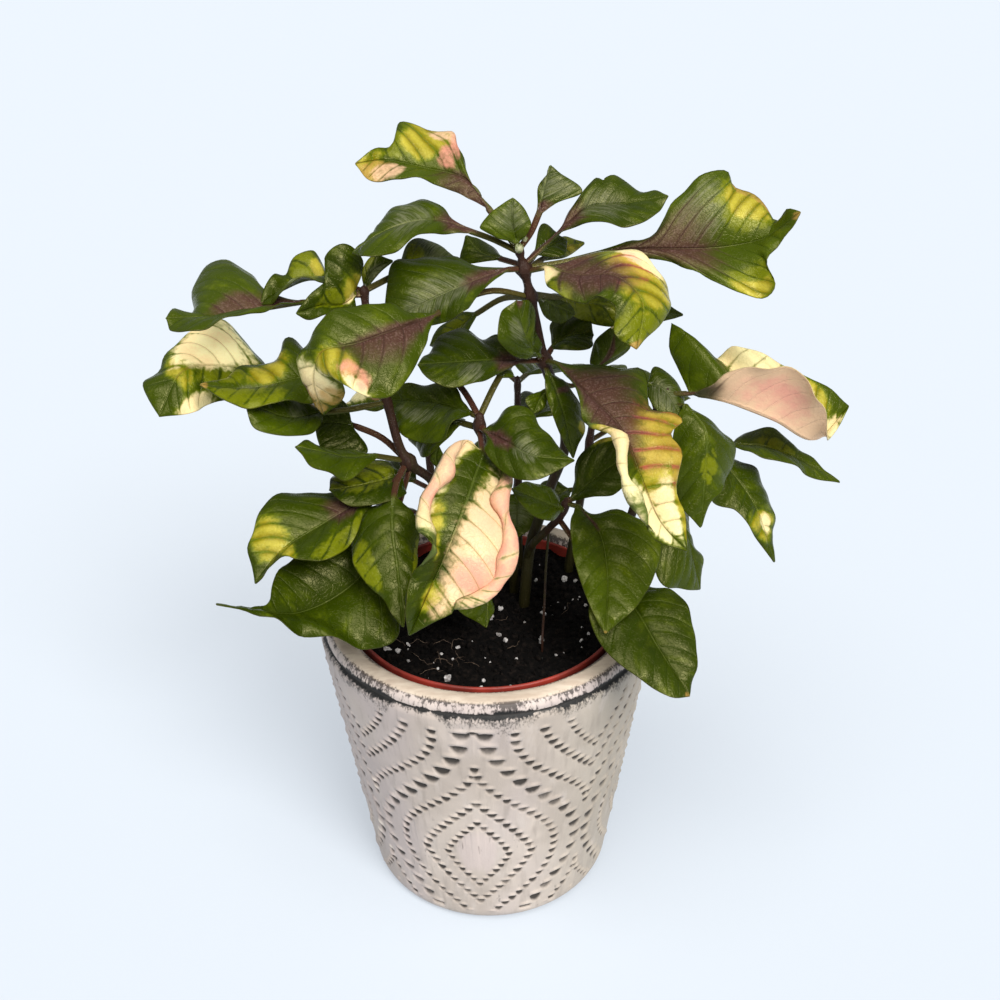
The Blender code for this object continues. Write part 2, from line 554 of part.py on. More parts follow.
STEMS["leafy_stem_left"] = {
    "route": upright(0, 5, (-3, 0, 144), (-11, -8, 169), (-19, -14, 188), (-27, -18, 198),
                     (-33, -14, 219), (-38, -10, 244), (-39, -8, 258)),
    "thick": (2.2, 2.1, 1.9, 1.8, 1.6, 1.2),
    "leaves": {
        "behind_silver": leaf(
            [(-39, -8, 257)],
            [(-28, 0, 260), (-19, 8, 262), (-8, 14, 259)],
            [(-25, 12, 266), (-19, 18, 266), (-14, 18, 264)],
            [(-22, 0, 259), (-16, 4, 259)]),
        "far_left": leaf(
            [(-39, -8, 257), (-51, -8, 253)],
            [(-59, -10, 254), (-72, -14, 253), (-87, -20, 253), (-101, -26, 255)],
            [(-71, -22, 256), (-82, -32, 256), (-92, -34, 254), (-99, -30, 252)],
            [(-66, -6, 254), (-75, 0, 255), (-80, 6, 258), (-87, 10, 263), (-94, 8, 261),
             (-97, 0, 255), (-97, -12, 251), (-100, -20, 256)]),
        "waved_left": leaf(
            [(-40, -7, 257)],
            [(-49, -2, 258), (-58, -2, 259), (-66, -6, 257), (-73, -12, 254)],
            [(-50, -9, 261), (-58, -13, 263), (-64, -15, 260), (-69, -15, 256)],
            [(-52, 4, 259), (-57, 8, 266), (-62, 6, 264), (-66, 0, 260), (-69, -4, 262),
             (-72, -8, 259)]),
        "grey_upright": leaf(
            [(-39, -8, 254)],
            [(-39, -4, 256), (-36, 0, 261), (-30, 4, 263)],
            [(-40, 0, 261), (-36, 4, 265)],
            [(-37, -4, 258), (-34, -2, 261)]),
        "curled_cup": leaf(
            [(-39, -8, 256)],
            [(-42, -9, 256), (-46, -13, 254), (-52, -16, 255), (-60, -20, 254)],
            [(-41, -14, 254), (-45, -18, 252), (-50, -20, 253), (-57, -21, 252)],
            [(-39, -5, 266), (-45, -6, 272), (-51, -9, 269), (-51, -13, 263), (-56, -17, 259)]),
        "cream_left": leaf(
            [(-39, -9, 248), (-60, -2, 233)],
            [(-74, -4, 225), (-88, -12, 232), (-99, -22, 235), (-106, -34, 224)],
            [(-80, -14, 222), (-90, -24, 224), (-96, -32, 224)],
            [(-81, 6, 230), (-88, 8, 238), (-95, 4, 242), (-101, -2, 241), (-106, -10, 237),
             (-108, -16, 233), (-113, -24, 232)]),
        "yellow_left": leaf(
            [(-37, -11, 239)],
            [(-50, -14, 230), (-61, -18, 230), (-77, -26, 230), (-91, -34, 235)],
            [(-54, -28, 226), (-63, -32, 228), (-72, -36, 228), (-81, -38, 230)],
            [(-60, -4, 233), (-67, -2, 237), (-72, -10, 233), (-80, -16, 233), (-86, -26, 234)]),
        "green_left": leaf(
            [(-33, -14, 219), (-45, -18, 218)],
            [(-54, -20, 218), (-65, -26, 219), (-78, -32, 228)],
            [(-56, -30, 216), (-65, -36, 217), (-74, -38, 221)],
            [(-60, -14, 220), (-72, -20, 225)]),
        "lobed_left": leaf(
            [(-27, -18, 198)],
            [(-37, -24, 203), (-47, -30, 206), (-54, -34, 210), (-62, -36, 213)],
            [(-40, -30, 202), (-46, -38, 201), (-50, -40, 205), (-57, -42, 209), (-60, -40, 213)],
            [(-45, -24, 205), (-54, -26, 207), (-59, -30, 212)]),
        "block_left": leaf(
            [(-28, -17, 197), (-36, -12, 204)],
            [(-46, -10, 208), (-52, -10, 209), (-59, -11, 209)],
            [(-41, -16, 200), (-49, -19, 201), (-56, -20, 203)],
            [(-48, -5, 214), (-53, -2, 216), (-59, -4, 215)]),
        "light_left": leaf(
            [(-27, -18, 197)],
            [(-29, -20, 193), (-36, -24, 193), (-45, -28, 193), (-53, -30, 193)],
            [(-27, -28, 190), (-34, -34, 190), (-47, -36, 191)],
            [(-32, -16, 195), (-42, -14, 195), (-52, -18, 194)]),
        "spotted_left": leaf(
            [(-27, -18, 196), (-30, -23, 194)],
            [(-33, -26, 191), (-45, -31, 187), (-56, -37, 183), (-68, -44, 178), (-77, -54, 171)],
            [(-41, -34, 186), (-45, -46, 181), (-55, -54, 179), (-65, -54, 182), (-71, -54, 177)],
            [(-40, -24, 188), (-52, -24, 188), (-67, -24, 189), (-77, -32, 187), (-80, -42, 179)]),
        "big_low_left": leaf(
            [(-25, -17, 196)],
            [(-33, -26, 174), (-47, -40, 160), (-64, -52, 157), (-76, -63, 166), (-86, -72, 175)],
            [(-30, -44, 156), (-31, -56, 148), (-41, -60, 147), (-52, -62, 154), (-62, -64, 156),
             (-70, -66, 165)],
            [(-38, -22, 172), (-49, -26, 174), (-62, -34, 172), (-71, -44, 169), (-74, -59, 165)]),
        "splashed_front": leaf(
            [(-27, -18, 197), (-30, -26, 194)],
            [(-31, -32, 191), (-31, -42, 184), (-29, -52, 174), (-27, -66, 161)],
            [(-26, -34, 188), (-22, -40, 179), (-24, -52, 172), (-26, -60, 167)],
            [(-41, -32, 185), (-46, -40, 179), (-41, -52, 171), (-33, -60, 166)]),
        "bud_leaf": leaf(
            [(-16, -14, 187)],
            [(-16, -14, 193), (-17, -13, 196), (-16, -12, 200)],
            [(-19, -13, 196)],
            [(-14, -13, 196)]),
    },
}

STEMS["leafy_stem_front"] = {
    "route": upright(11, 13, (10, 3, 150), (6, -8, 176), (1, -18, 202), (-1, -21, 212), (-1, -21, 217)),
    "thick": (2.0, 1.9, 1.7, 1.4),
    "leaves": {
        "dark_left": leaf(
            [(-1, -21, 216)],
            [(-4, -18, 216), (-15, -12, 217), (-35, -2, 214)],
            [(-9, -26, 217), (-13, -28, 211), (-25, -20, 207)],
            [(-10, -8, 221), (-18, -4, 221), (-27, -1, 219)]),
        "dark_under": leaf(
            [(-1, -21, 212)],
            [(-8, -15, 211), (-16, -10, 207), (-27, -4, 199)],
            [(-14, -18, 205), (-20, -16, 198)],
            [(-15, -8, 212), (-24, -2, 207)]),
        "tucked_left": leaf(
            [(-1, -21, 216), (-6, -12, 221)],
            [(-10, -5, 223), (-14, 0, 223), (-18, 4, 221)],
            [(-15, -4, 220)],
            [(-11, 4, 222)]),
        "tucked_right": leaf(
            [(-1, -21, 216), (4, -12, 223)],
            [(6, -8, 225), (8, -4, 226), (9, 1, 225)],
            [(4, -3, 226)],
            [(11, -6, 224)]),
        "round_front": leaf(
            [(-1, -22, 213)],
            [(1, -26, 213), (8, -34, 213), (16, -42, 212), (30, -44, 211)],
            [(3, -24, 215), (11, -24, 221), (17, -26, 220), (21, -32, 216), (26, -38, 211)],
            [(3, -40, 209), (10, -48, 207), (17, -50, 207), (25, -48, 210)]),
        "cream_front": leaf(
            [(-1, -22, 211)],
            [(0, -32, 208), (-4, -46, 202), (-9, -58, 193), (-13, -64, 186), (-18, -70, 177),
             (-24, -76, 165)],
            [(4, -32, 204), (9, -36, 199), (7, -44, 194), (11, -54, 187), (9, -62, 180),
             (0, -68, 173), (-9, -74, 173)],
            [(-5, -28, 211), (-12, -32, 209), (-15, -40, 206), (-21, -48, 199), (-21, -58, 194),
             (-17, -66, 194), (-23, -70, 184), (-25, -76, 175)]),
        "low_front": leaf(
            [(7, -15, 172)],
            [(5, -18, 156), (1, -24, 147), (0, -34, 137)],
            [(3, -24, 142)],
            [(-11, -34, 147)]),
    },
}

LOW_LEAVES = {
        "small_dark": leaf(
            [(30, -12, 173)],
            [(28, -14, 175), (20, -18, 181), (10, -20, 187)],
            [(25, -20, 174), (18, -26, 179), (12, -26, 186)],
            [(25, -10, 181), (17, -12, 185)]),
        "dark_inner": leaf(
            [(30, -12, 177)],
            [(32, -12, 178), (40, -10, 185), (52, -8, 194)],
            [(34, -4, 187), (42, 0, 196), (49, -2, 198)],
            [(39, -16, 181), (46, -18, 183), (52, -14, 187)]),
        "heart": leaf(
            [(31, -12, 176)],
            [(34, -14, 176), (41, -24, 171), (43, -38, 164), (41, -60, 153)],
            [(39, -15, 173), (51, -18, 176), (61, -24, 172), (62, -34, 165), (54, -48, 158),
             (46, -56, 154)],
            [(31, -22, 174), (31, -32, 169), (34, -46, 162), (38, -56, 156)]),
        "over_rim": leaf(
            [(28, -12, 167), (38, -22, 158)],
            [(45, -34, 156), (53, -46, 152), (59, -58, 146), (69, -72, 135)],
            [(55, -34, 154), (66, -38, 156), (71, -46, 152), (73, -56, 147), (71, -66, 138)],
            [(41, -40, 157), (36, -50, 155), (41, -62, 147), (54, -72, 141), (63, -74, 136)]),
}
STEMS["leafy_stem_centre"]["leaves"].update(LOW_LEAVES)

STEMS["leafy_stem_right"] = {
    "route": upright(43, 6, (51, 6, 145), (57, 4, 166), (58, 2, 195), (65, 0, 212), (66, 0, 216)),
    "thick": (2.1, 1.9, 1.7, 1.3),
    "leaves": {
        "sheen": leaf(
            [(62, 0, 207)],
            [(59, 2, 217), (64, 0, 216), (70, -8, 209)],
            [(62, 8, 221), (69, 6, 217), (72, 0, 212)],
            [(59, -4, 214), (63, -8, 210)]),
        "pink_trumpet": leaf(
            [(66, 0, 214)],
            [(74, -2, 215), (87, -8, 214), (103, -10, 208), (118, -10, 200), (131, -2, 209)],
            [(68, 10, 227), (68, 14, 236), (74, 14, 228), (84, 12, 222), (90, 10, 228),
             (98, 8, 226), (110, 4, 222), (125, 0, 214)],
            [(82, -12, 225), (90, -14, 230), (101, -16, 231), (108, -18, 229), (116, -18, 219),
             (122, -14, 202)]),
        "narrow_right": leaf(
            [(65, 0, 211), (79, 2, 198)],
            [(92, 4, 191), (104, 4, 190), (118, 4, 184), (133, 2, 176)],
            [(98, 12, 192), (109, 12, 193), (120, 8, 185)],
            [(99, -4, 191), (112, -4, 187), (123, -1, 179)]),
        "glossy": leaf(
            [(65, 0, 210)],
            [(72, -6, 212), (78, -14, 206), (78, -20, 192), (77, -26, 174)],
            [(86, -6, 202), (90, -10, 194), (87, -16, 187), (81, -22, 183)],
            [(69, -9, 209), (66, -14, 198), (67, -19, 184), (72, -24, 179)]),
        "yellow_fold": leaf(
            [(64, 0, 208), (76, 2, 194)],
            [(86, 2, 187), (93, 0, 180), (100, -6, 171), (108, -14, 151)],
            [(95, 8, 183), (102, 8, 178), (107, 2, 171), (108, -4, 163)],
            [(82, -5, 184), (84, -9, 174), (92, -11, 172), (99, -13, 163)]),
        "long_hanging": leaf(
            [(58, 3, 195)],
            [(66, 1, 186), (71, -5, 172), (76, -9, 158), (81, -14, 139)],
            [(74, 0, 168), (78, -4, 157), (82, -9, 146)],
            [(65, -10, 167), (62, -17, 156), (65, -22, 147), (73, -20, 143)]),
    },
}


def back_stem(x, y, crown, leaves):
    """A stem at the back of the pot with ordinary leaves. Each leaf is given by its height on
    the stem, heading, rise, length, width and droop."""
    route = upright(x, y, ((x + crown[0]) / 2, (y + crown[1]) / 2 - 2, 160), crown)
    foliage = {}
    for i, (height, heading, rise, length, width, droop) in enumerate(leaves):
        share = (height - route[0][2]) / (crown[2] - route[0][2])
        root = tuple(np.array(route[0]) * (1 - share) + np.array(crown) * share)
        foliage["leaf_%d" % i] = plain_leaf(root, heading, rise, length, width, droop)
    return {"route": route, "thick": (2.0, 1.8, 1.6, 1.2), "leaves": foliage}


STEMS["leafy_stem_back"] = back_stem(13, 32, (13, 34, 206), (
    (204, 118, 6, 40, 24, 10), (204, 66, 0, 38, 24, 12), (184, 58, 8, 44, 26, 16),
    (168, 150, 10, 34, 24, 14), (158, 268, 4, 26, 24, 10)))
STEMS["leafy_stem_back_left"] = back_stem(-18, 24, (-24, 34, 196), (
    (194, 168, 6, 40, 24, 12), (178, 80, 4, 36, 22, 8), (160, 146, 6, 42, 24, 12),
    (150, 212, 14, 32, 22, 8), (158, 320, 4, 24, 18, 10)))
STEMS["leafy_stem_back_right"] = back_stem(34, 28, (44, 36, 198), (
    (196, 20, 6, 42, 24, 12), (196, 84, 10, 40, 24, 12), (178, 44, 8, 46, 26, 16),
    (160, 0, 10, 36, 24, 14), (158, 200, 4, 22, 18, 10)))


def main():
    for obj in list(bpy.data.objects):
        bpy.data.objects.remove(obj)
    scene = bpy.context.scene.collection
    plant = bpy.data.collections.new("potted_joyweed")
    cutters = bpy.data.collections.new("cutters")
    scene.children.link(plant)
    scene.children.link(cutters)

    glaze = material("pot_glaze", (0.62, 0.56, 0.50), 0.45)
    plastic = material("nursery_plastic", (0.36, 0.05, 0.03), 0.4)
    peat = material("potting_soil", (0.02, 0.014, 0.01), 0.95)
    foliage = material("joyweed_leaf", (0.07, 0.13, 0.02), 0.35)

    cover_pot(plant, glaze)
    nursery_pot(plant, cutters, plastic)
    soil(plant, cutters, peat, STEMS)
    for name, stem in STEMS.items():
        leafy_stem(name, stem, plant, foliage)


main()
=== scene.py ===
"""Looks of the potted joyweed: a glazed cover pot, a red nursery pot, peat and seven leafy stems.

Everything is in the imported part's own frame, in metres, with +Z up and the plant's front at -Y.
Points of stems and leaves are written in millimetres, as in the part's source.
"""
import math
from itertools import product

import bpy
import numpy as np
from mathutils import Matrix, Vector, noise


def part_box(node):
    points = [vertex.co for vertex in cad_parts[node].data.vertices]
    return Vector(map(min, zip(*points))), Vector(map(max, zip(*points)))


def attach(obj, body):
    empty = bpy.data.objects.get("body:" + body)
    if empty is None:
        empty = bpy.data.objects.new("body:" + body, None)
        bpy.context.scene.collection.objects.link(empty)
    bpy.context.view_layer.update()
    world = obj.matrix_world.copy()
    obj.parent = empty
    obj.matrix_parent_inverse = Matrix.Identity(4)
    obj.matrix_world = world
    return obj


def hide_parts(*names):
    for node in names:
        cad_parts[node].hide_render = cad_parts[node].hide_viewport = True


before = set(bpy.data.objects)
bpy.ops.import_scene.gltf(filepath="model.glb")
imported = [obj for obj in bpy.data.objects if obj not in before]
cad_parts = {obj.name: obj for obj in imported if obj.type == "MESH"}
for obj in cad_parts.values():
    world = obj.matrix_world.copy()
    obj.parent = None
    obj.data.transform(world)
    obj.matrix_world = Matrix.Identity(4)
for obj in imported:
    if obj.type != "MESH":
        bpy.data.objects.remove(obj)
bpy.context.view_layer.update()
MM = 0.001


# Cover pot
# Glazed earthenware, pressed in a mould with a net of ogees made of small half-moon dents. The
# glaze is greige, worn over a dark wash along the band under the lip and in the dents. In the dents
# the dark is partly painted shade under each dent's upper edge, and the lips over them are painted
# as highlights.

POT_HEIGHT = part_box("cover_pot")[1].z - 0.0004
POT_BASE_RADIUS = 0.050
POT_SHOULDER = (0.0656, 0.1175)
# From the shoulder over the groove of the black line and up the worn band: (radius, height)
POT_GROOVE = ((0.0655, 0.1186), (0.0650, 0.1197), (0.0643, 0.1204), (0.0640, 0.1208))
POT_BAND = ((0.0641, 0.1213), (0.0639, 0.1225), (0.0633, 0.1238))
POT_LIP = (0.0545, 0.0621)       # inner and outer radius
POT_LIP_CROWN = 0.0005           # how far the lip's top arches up
POT_FLOOR = 0.008
POT_INSIDE = ((0.0500, 0.066), (0.0445, POT_FLOOR + 0.003), (0.0415, POT_FLOOR), (0.0, POT_FLOOR))
POT_FOOT_ROUND = 0.006
POT_COLUMNS = 640
POT_RELIEF_ROWS = 250
POT_KEPT = 0.53                  # share of faces kept, fewest where the wall is plain
LINE_HEIGHT = 120.6              # the black line in the groove, mm
BAND_MIDDLE = 122.5
LIP_HEIGHT = 124.6               # where the band turns into the cream lip, mm

NET_RADIUS = 0.058               # where the net's widths below are measured
NET_COUNT = 4                    # ogees round the pot
NET_CENTRE = (-4.5, 44)          # middle of the front ogee, mm along the wall and up
NET_RISE = 68                    # half the height of one ogee, mm
NET_GAP = 3.8                    # half the distance between two ogees where they almost touch
# Rings of dents from the middle out: half width, half height, spacing, dent width, dent height
NET_RINGS = ((12.5, 19, 3.6, 2.9, 2.7), (22, 30, 4.2, 3.5, 3.1), (32, 50, 4.3, 3.4, 3.0))
NET_EDGE = (42.5, NET_RISE, 7.6, 5.6, 4.5)
NET_TIE = (1.5, 4.0, 1.9)        # dent where two ogees meet: how far up, its width and height
NET_LIMITS = (3.5, 115)          # lowest and highest dent, mm
DENT_DEEP = 1.2                  # depth of the biggest dent's upper end, mm
DENT_LIP = 0.62                  # how far clay stands up over a dent, mm


def rolled(name, rings, facts=None):
    """A grid rolled into a closed skin. Each row of points is one ring round the piece, and the
    first and last ring draw in to a point. Facts are named values, one for each point."""
    rows, around = rings.shape[:2]
    bpy.ops.object.select_all(action="DESELECT")
    bpy.ops.mesh.primitive_grid_add(x_subdivisions=around, y_subdivisions=rows - 1, size=1)
    piece = bpy.context.active_object
    piece.name = name
    closed = np.concatenate([rings, rings[:, :1]], axis=1)
    piece.data.vertices.foreach_set("co", closed.reshape(-1).astype(np.float32))
    for key, values in (facts or {}).items():
        values = np.concatenate([values, values[:, :1]], axis=1)
        attribute = piece.data.attributes.new(key, "FLOAT", "POINT")
        attribute.data.foreach_set("value", values.reshape(-1).astype(np.float32))
    bpy.ops.object.mode_set(mode="EDIT")
    bpy.ops.mesh.select_all(action="SELECT")
    bpy.ops.mesh.remove_doubles(threshold=0.0000004)
    bpy.ops.mesh.normals_make_consistent(inside=False)
    bpy.ops.object.mode_set(mode="OBJECT")
    bpy.ops.object.shade_smooth()
    return piece


def turned_rings(profile, columns):
    """Rings of a turned shape, from a profile of (radius, height) points."""
    turn = np.linspace(0, 2 * math.pi, columns, endpoint=False)
    profile = np.array(profile, float)
    radius, height = profile[:, :1], profile[:, 1:]
    return np.stack([radius * np.cos(turn), radius * np.sin(turn), height + 0 * turn], axis=2)


def ring_line(half_width, half_height, edge):
    """One side of an ogee ring: (distance from its axis, height over its middle) in mm."""
    rise = np.linspace(0, 1, 240)
    if edge:
        width = NET_GAP + (half_width - NET_GAP) * (1 + np.cos(math.pi * rise)) / 2
    elif half_height < 40:
        width = half_width * (1 - rise ** 1.35)
    else:
        width = half_width * (1 + np.cos(math.pi * rise ** 1.15)) / 2
    return width, rise * half_height


def spaced(width, rise, spacing):
    """Places along a line at even spacing, counted from its lowest end."""
    length = np.r_[0, np.cumsum(np.hypot(np.diff(width), np.diff(rise)))]
    count = max(1, round(length[-1] / spacing))
    at = np.linspace(0, length[-1], count + 1)
    return zip(np.interp(at, length, width), np.interp(at, length, rise))


def dents():
    """Every dent of the net: angle round the pot, height, width and height of the dent, in mm."""
    found = []
    around = 2 * math.pi * NET_RADIUS / MM
    for level, shift in ((0, 0.0), (1, 0.5), (-1, 0.5)):
        middle = NET_CENTRE[1] + level * NET_RISE
        rings = [(*ring, False) for ring in NET_RINGS]
        if not shift:
            rings.append((*NET_EDGE, True))
        for half_width, half_height, spacing, wide, high, edge in rings:
            for width, rise in spaced(*ring_line(half_width, half_height, edge), spacing):
                sides = (-1, 1) if width > 0.6 else (1,)
                levels = (-1, 1) if rise > 0.6 else (1,)
                for side, level, turn in product(sides, levels, range(NET_COUNT)):
                    place = NET_CENTRE[0] + (turn + shift) * around / NET_COUNT + side * width
                    found.append((place, middle + level * rise, wide, high))
    for turn in range(NET_COUNT):
        place = NET_CENTRE[0] + turn * around / NET_COUNT
        found.append((place, NET_CENTRE[1] + NET_RISE + NET_TIE[0], *NET_TIE[1:]))
    return [dent for dent in found if NET_LIMITS[0] < dent[1] < NET_LIMITS[1]]


def pressed(place, height):
    """How far the wall stands in at each point, and how dark its glaze is there: dark glaze settled
    in the dents, partly painted shade under each dent's upper edge, and below zero a painted highlight
    on the lip above. A dent is shallow at its round lower end, deep under its straight upper edge,
    with a raised lip above."""
    around = 2 * math.pi * NET_RADIUS / MM
    depth = np.zeros_like(place)
    wash_shade_and_highlight = np.zeros_like(place)
    dice = np.random.default_rng(4)
    for x, z, wide, high in dents():
        wide = wide * dice.uniform(0.9, 1.12)
        high = high * dice.uniform(0.85, 1.15)
        hold = dice.uniform(0.6, 1.0)
        rows = np.abs(height[:, 0] - z) < 6
        across = (place[rows] - x + around / 2) % around - around / 2
        a = np.clip(2 * across / wide, -3, 3)
        b = (height[rows] - z) / high
        low = np.clip((b + np.sqrt(np.clip(1 - a ** 2, 0, 1))) / 0.45, 0, 1)
        top = np.clip((0.24 - 0.10 * a ** 2 - b) / 0.16, 0, 1)
        inside = low * top * (np.abs(a) < 1)
        lip = np.exp(-((b - 0.46 + 0.10 * a ** 2) / 0.20) ** 2) * np.clip(1.25 - np.abs(a), 0, 1)
        size = high / 4.6
        slope = np.clip((b + 1) / 1.1, 0, 1)
        depth[rows] += inside * (0.10 + DENT_DEEP * slope) * (0.45 + 0.85 * size)
        depth[rows] -= DENT_LIP * lip * (0.45 + 0.55 * size)
        # Painted shade: the dark in a dent is strongest under its upper edge; the lip above gets a painted
        # highlight
        settled_wash_and_shade = np.maximum(wash_shade_and_highlight[rows], inside * hold * (0.35 + 0.65 * slope))
        wash_shade_and_highlight[rows] = settled_wash_and_shade - 0.5 * lip * (inside < 0.2)
    return depth * MM, wash_shade_and_highlight


def cover_pot_rings():
    """The pot's whole skin, from under its foot up the wall, over the lip and down inside."""
    foot = POT_FOOT_ROUND
    wall_top = np.array(POT_SHOULDER)
    wall_foot = np.array((POT_BASE_RADIUS + 0.0006, foot))
    inner, outer = POT_LIP
    profile = [(0.0, 0.0), (0.03, 0.0), (POT_BASE_RADIUS - foot, 0.0)]
    for i in range(1, 7):
        angle = math.radians(-90 + 15 * i)
        profile.append((wall_foot[0] - foot + foot * math.cos(angle), foot + foot * math.sin(angle)))
    start = len(profile)
    for share in np.linspace(0, 1, POT_RELIEF_ROWS)[1:]:
        profile.append(tuple(wall_foot + (wall_top - wall_foot) * share))
    end = len(profile)
    profile += [*POT_GROOVE, *POT_BAND, (outer, POT_HEIGHT)]
    for share in (0.12, 0.3, 0.5, 0.7, 0.88):
        crown = POT_LIP_CROWN * 4 * share * (1 - share)
        profile.append((outer + (inner + 0.001 - outer) * share, POT_HEIGHT + crown - 0.0008 * share ** 3))
    profile += [(inner + 0.0003, POT_HEIGHT - 0.0018), (inner, POT_HEIGHT - 0.004), *POT_INSIDE]
    rings = turned_rings(profile, POT_COLUMNS)
    wall = rings[start:end]
    front = np.arctan2(wall[..., 0], -wall[..., 1])
    depth, wash_shade_and_highlight = pressed(front * NET_RADIUS / MM, wall[..., 2] / MM)
    inward = wall[..., :2] / np.linalg.norm(wall[..., :2], axis=2, keepdims=True)
    wall[..., :2] -= inward * depth[..., None]
    wash_shade_highlight_rows = np.zeros(rings.shape[:2])
    wash_shade_highlight_rows[start:end] = wash_shade_and_highlight
    return rings, {"wash_shade_and_highlight": wash_shade_highlight_rows}


class Flow:
    """A value or a colour in a material's nodes. Arithmetic on it adds Math nodes."""

    def __init__(self, material, socket=None):
        self.material = material
        self.socket = socket

    def node(self, kind, settings=None, sockets=None, output=0):
        """Adds a node: its settings first, then the values or links of its sockets."""
        tree = self.material.node_tree
        made = tree.nodes.new(kind)
        for key, value in (settings or {}).items():
            setattr(made, key, value)
        for key, value in (sockets or {}).items():
            if isinstance(value, Flow):
                tree.links.new(value.socket, made.inputs[key])
            else:
                made.inputs[key].default_value = value
        return Flow(self.material, made.outputs[output])

    def maths(self, operation, first, second=0.0):
        return self.node("ShaderNodeMath", {"operation": operation}, {0: first, 1: second})

    def __add__(self, other):
        return self.maths("ADD", self, other)

    __radd__ = __add__

    def __sub__(self, other):
        return self.maths("SUBTRACT", self, other)

    def __rsub__(self, other):
        return self.maths("SUBTRACT", other, self)

    def __mul__(self, other):
        return self.maths("MULTIPLY", self, other)

    __rmul__ = __mul__

    def __truediv__(self, other):
        return self.maths("DIVIDE", self, other)

    def least(self, other):
        return self.maths("MINIMUM", self, other)

    def most(self, other):
        return self.maths("MAXIMUM", self, other)

    def size(self):
        return self.maths("ABSOLUTE", self)

    def step(self, low, high):
        """0 below low, 1 above high, and a smooth rise between them."""
        settings = {"interpolation_type": "SMOOTHSTEP"}
        return self.node("ShaderNodeMapRange", settings, {0: self, 1: low, 2: high, 3: 0.0, 4: 1.0})

    def fact(self, name):
        """A value that the mesh carries under this name at each of its points."""
        return self.node("ShaderNodeAttribute", {"attribute_name": name}, output=2)

    def stretched(self, scale=(1, 1, 1)):
        """Object coordinates stretched by three factors."""
        place = self.node("ShaderNodeTexCoord", output=3)
        return self.node("ShaderNodeMapping", None, {"Vector": place, "Scale": scale})

    def speckle(self, scale, detail=3.0, vector=(1, 1, 1), rough=0.55):
        """A noise from 0 to 1, about 0.5 in the middle. The vector is a flow, or three factors
        that stretch the object coordinates."""
        vector = vector if isinstance(vector, Flow) else self.stretched(vector)
        sockets = {"Vector": vector, "Scale": scale, "Detail": detail, "Roughness": rough}
        return self.node("ShaderNodeTexNoise", None, sockets)

    def blended(self, factor, other):
        """This colour turning into another as factor goes from 0 to 1."""
        return colour(self, self, factor, other)


def colour(flow, first, factor, second):
    """The mix of two colours by a factor. A colour is (r, g, b) or a flow."""
    first, second = (one if isinstance(one, Flow) else (*one, 1.0) for one in (first, second))
    settings = {"data_type": "RGBA", "clamp_factor": True}
    return flow.node("ShaderNodeMix", settings, {0: factor, 6: first, 7: second}, output=2)


def finish(base, rough, height=None, depth=0.001, **constants):
    """A material from its colour, roughness and bump height; constants sit on the shader itself."""
    tree = base.material.node_tree
    shader = tree.nodes["Principled BSDF"]
    tree.links.new(base.socket, shader.inputs["Base Color"])
    if isinstance(rough, Flow):
        tree.links.new(rough.socket, shader.inputs["Roughness"])
    else:
        shader.inputs["Roughness"].default_value = rough
    if height:
        bump = base.node("ShaderNodeBump", None, {"Height": height, "Distance": depth, "Strength": 1.0})
        tree.links.new(bump.socket, shader.inputs["Normal"])
    for key, value in constants.items():
        shader.inputs[key.replace("_", " ")].default_value = value
    return base.material


def blank(name):
    """A new material, as a flow to start from."""
    material = bpy.data.materials.new(name)
    material.use_nodes = True
    return Flow(material)


def placed(piece, material, slot, *nodes):
    """Gives a piece its material, lets it ride on the plant and stand for its CAD nodes."""
    piece.data.materials.clear()
    piece.data.materials.append(material)
    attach(piece, "root")
    if nodes:
        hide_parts(*nodes)


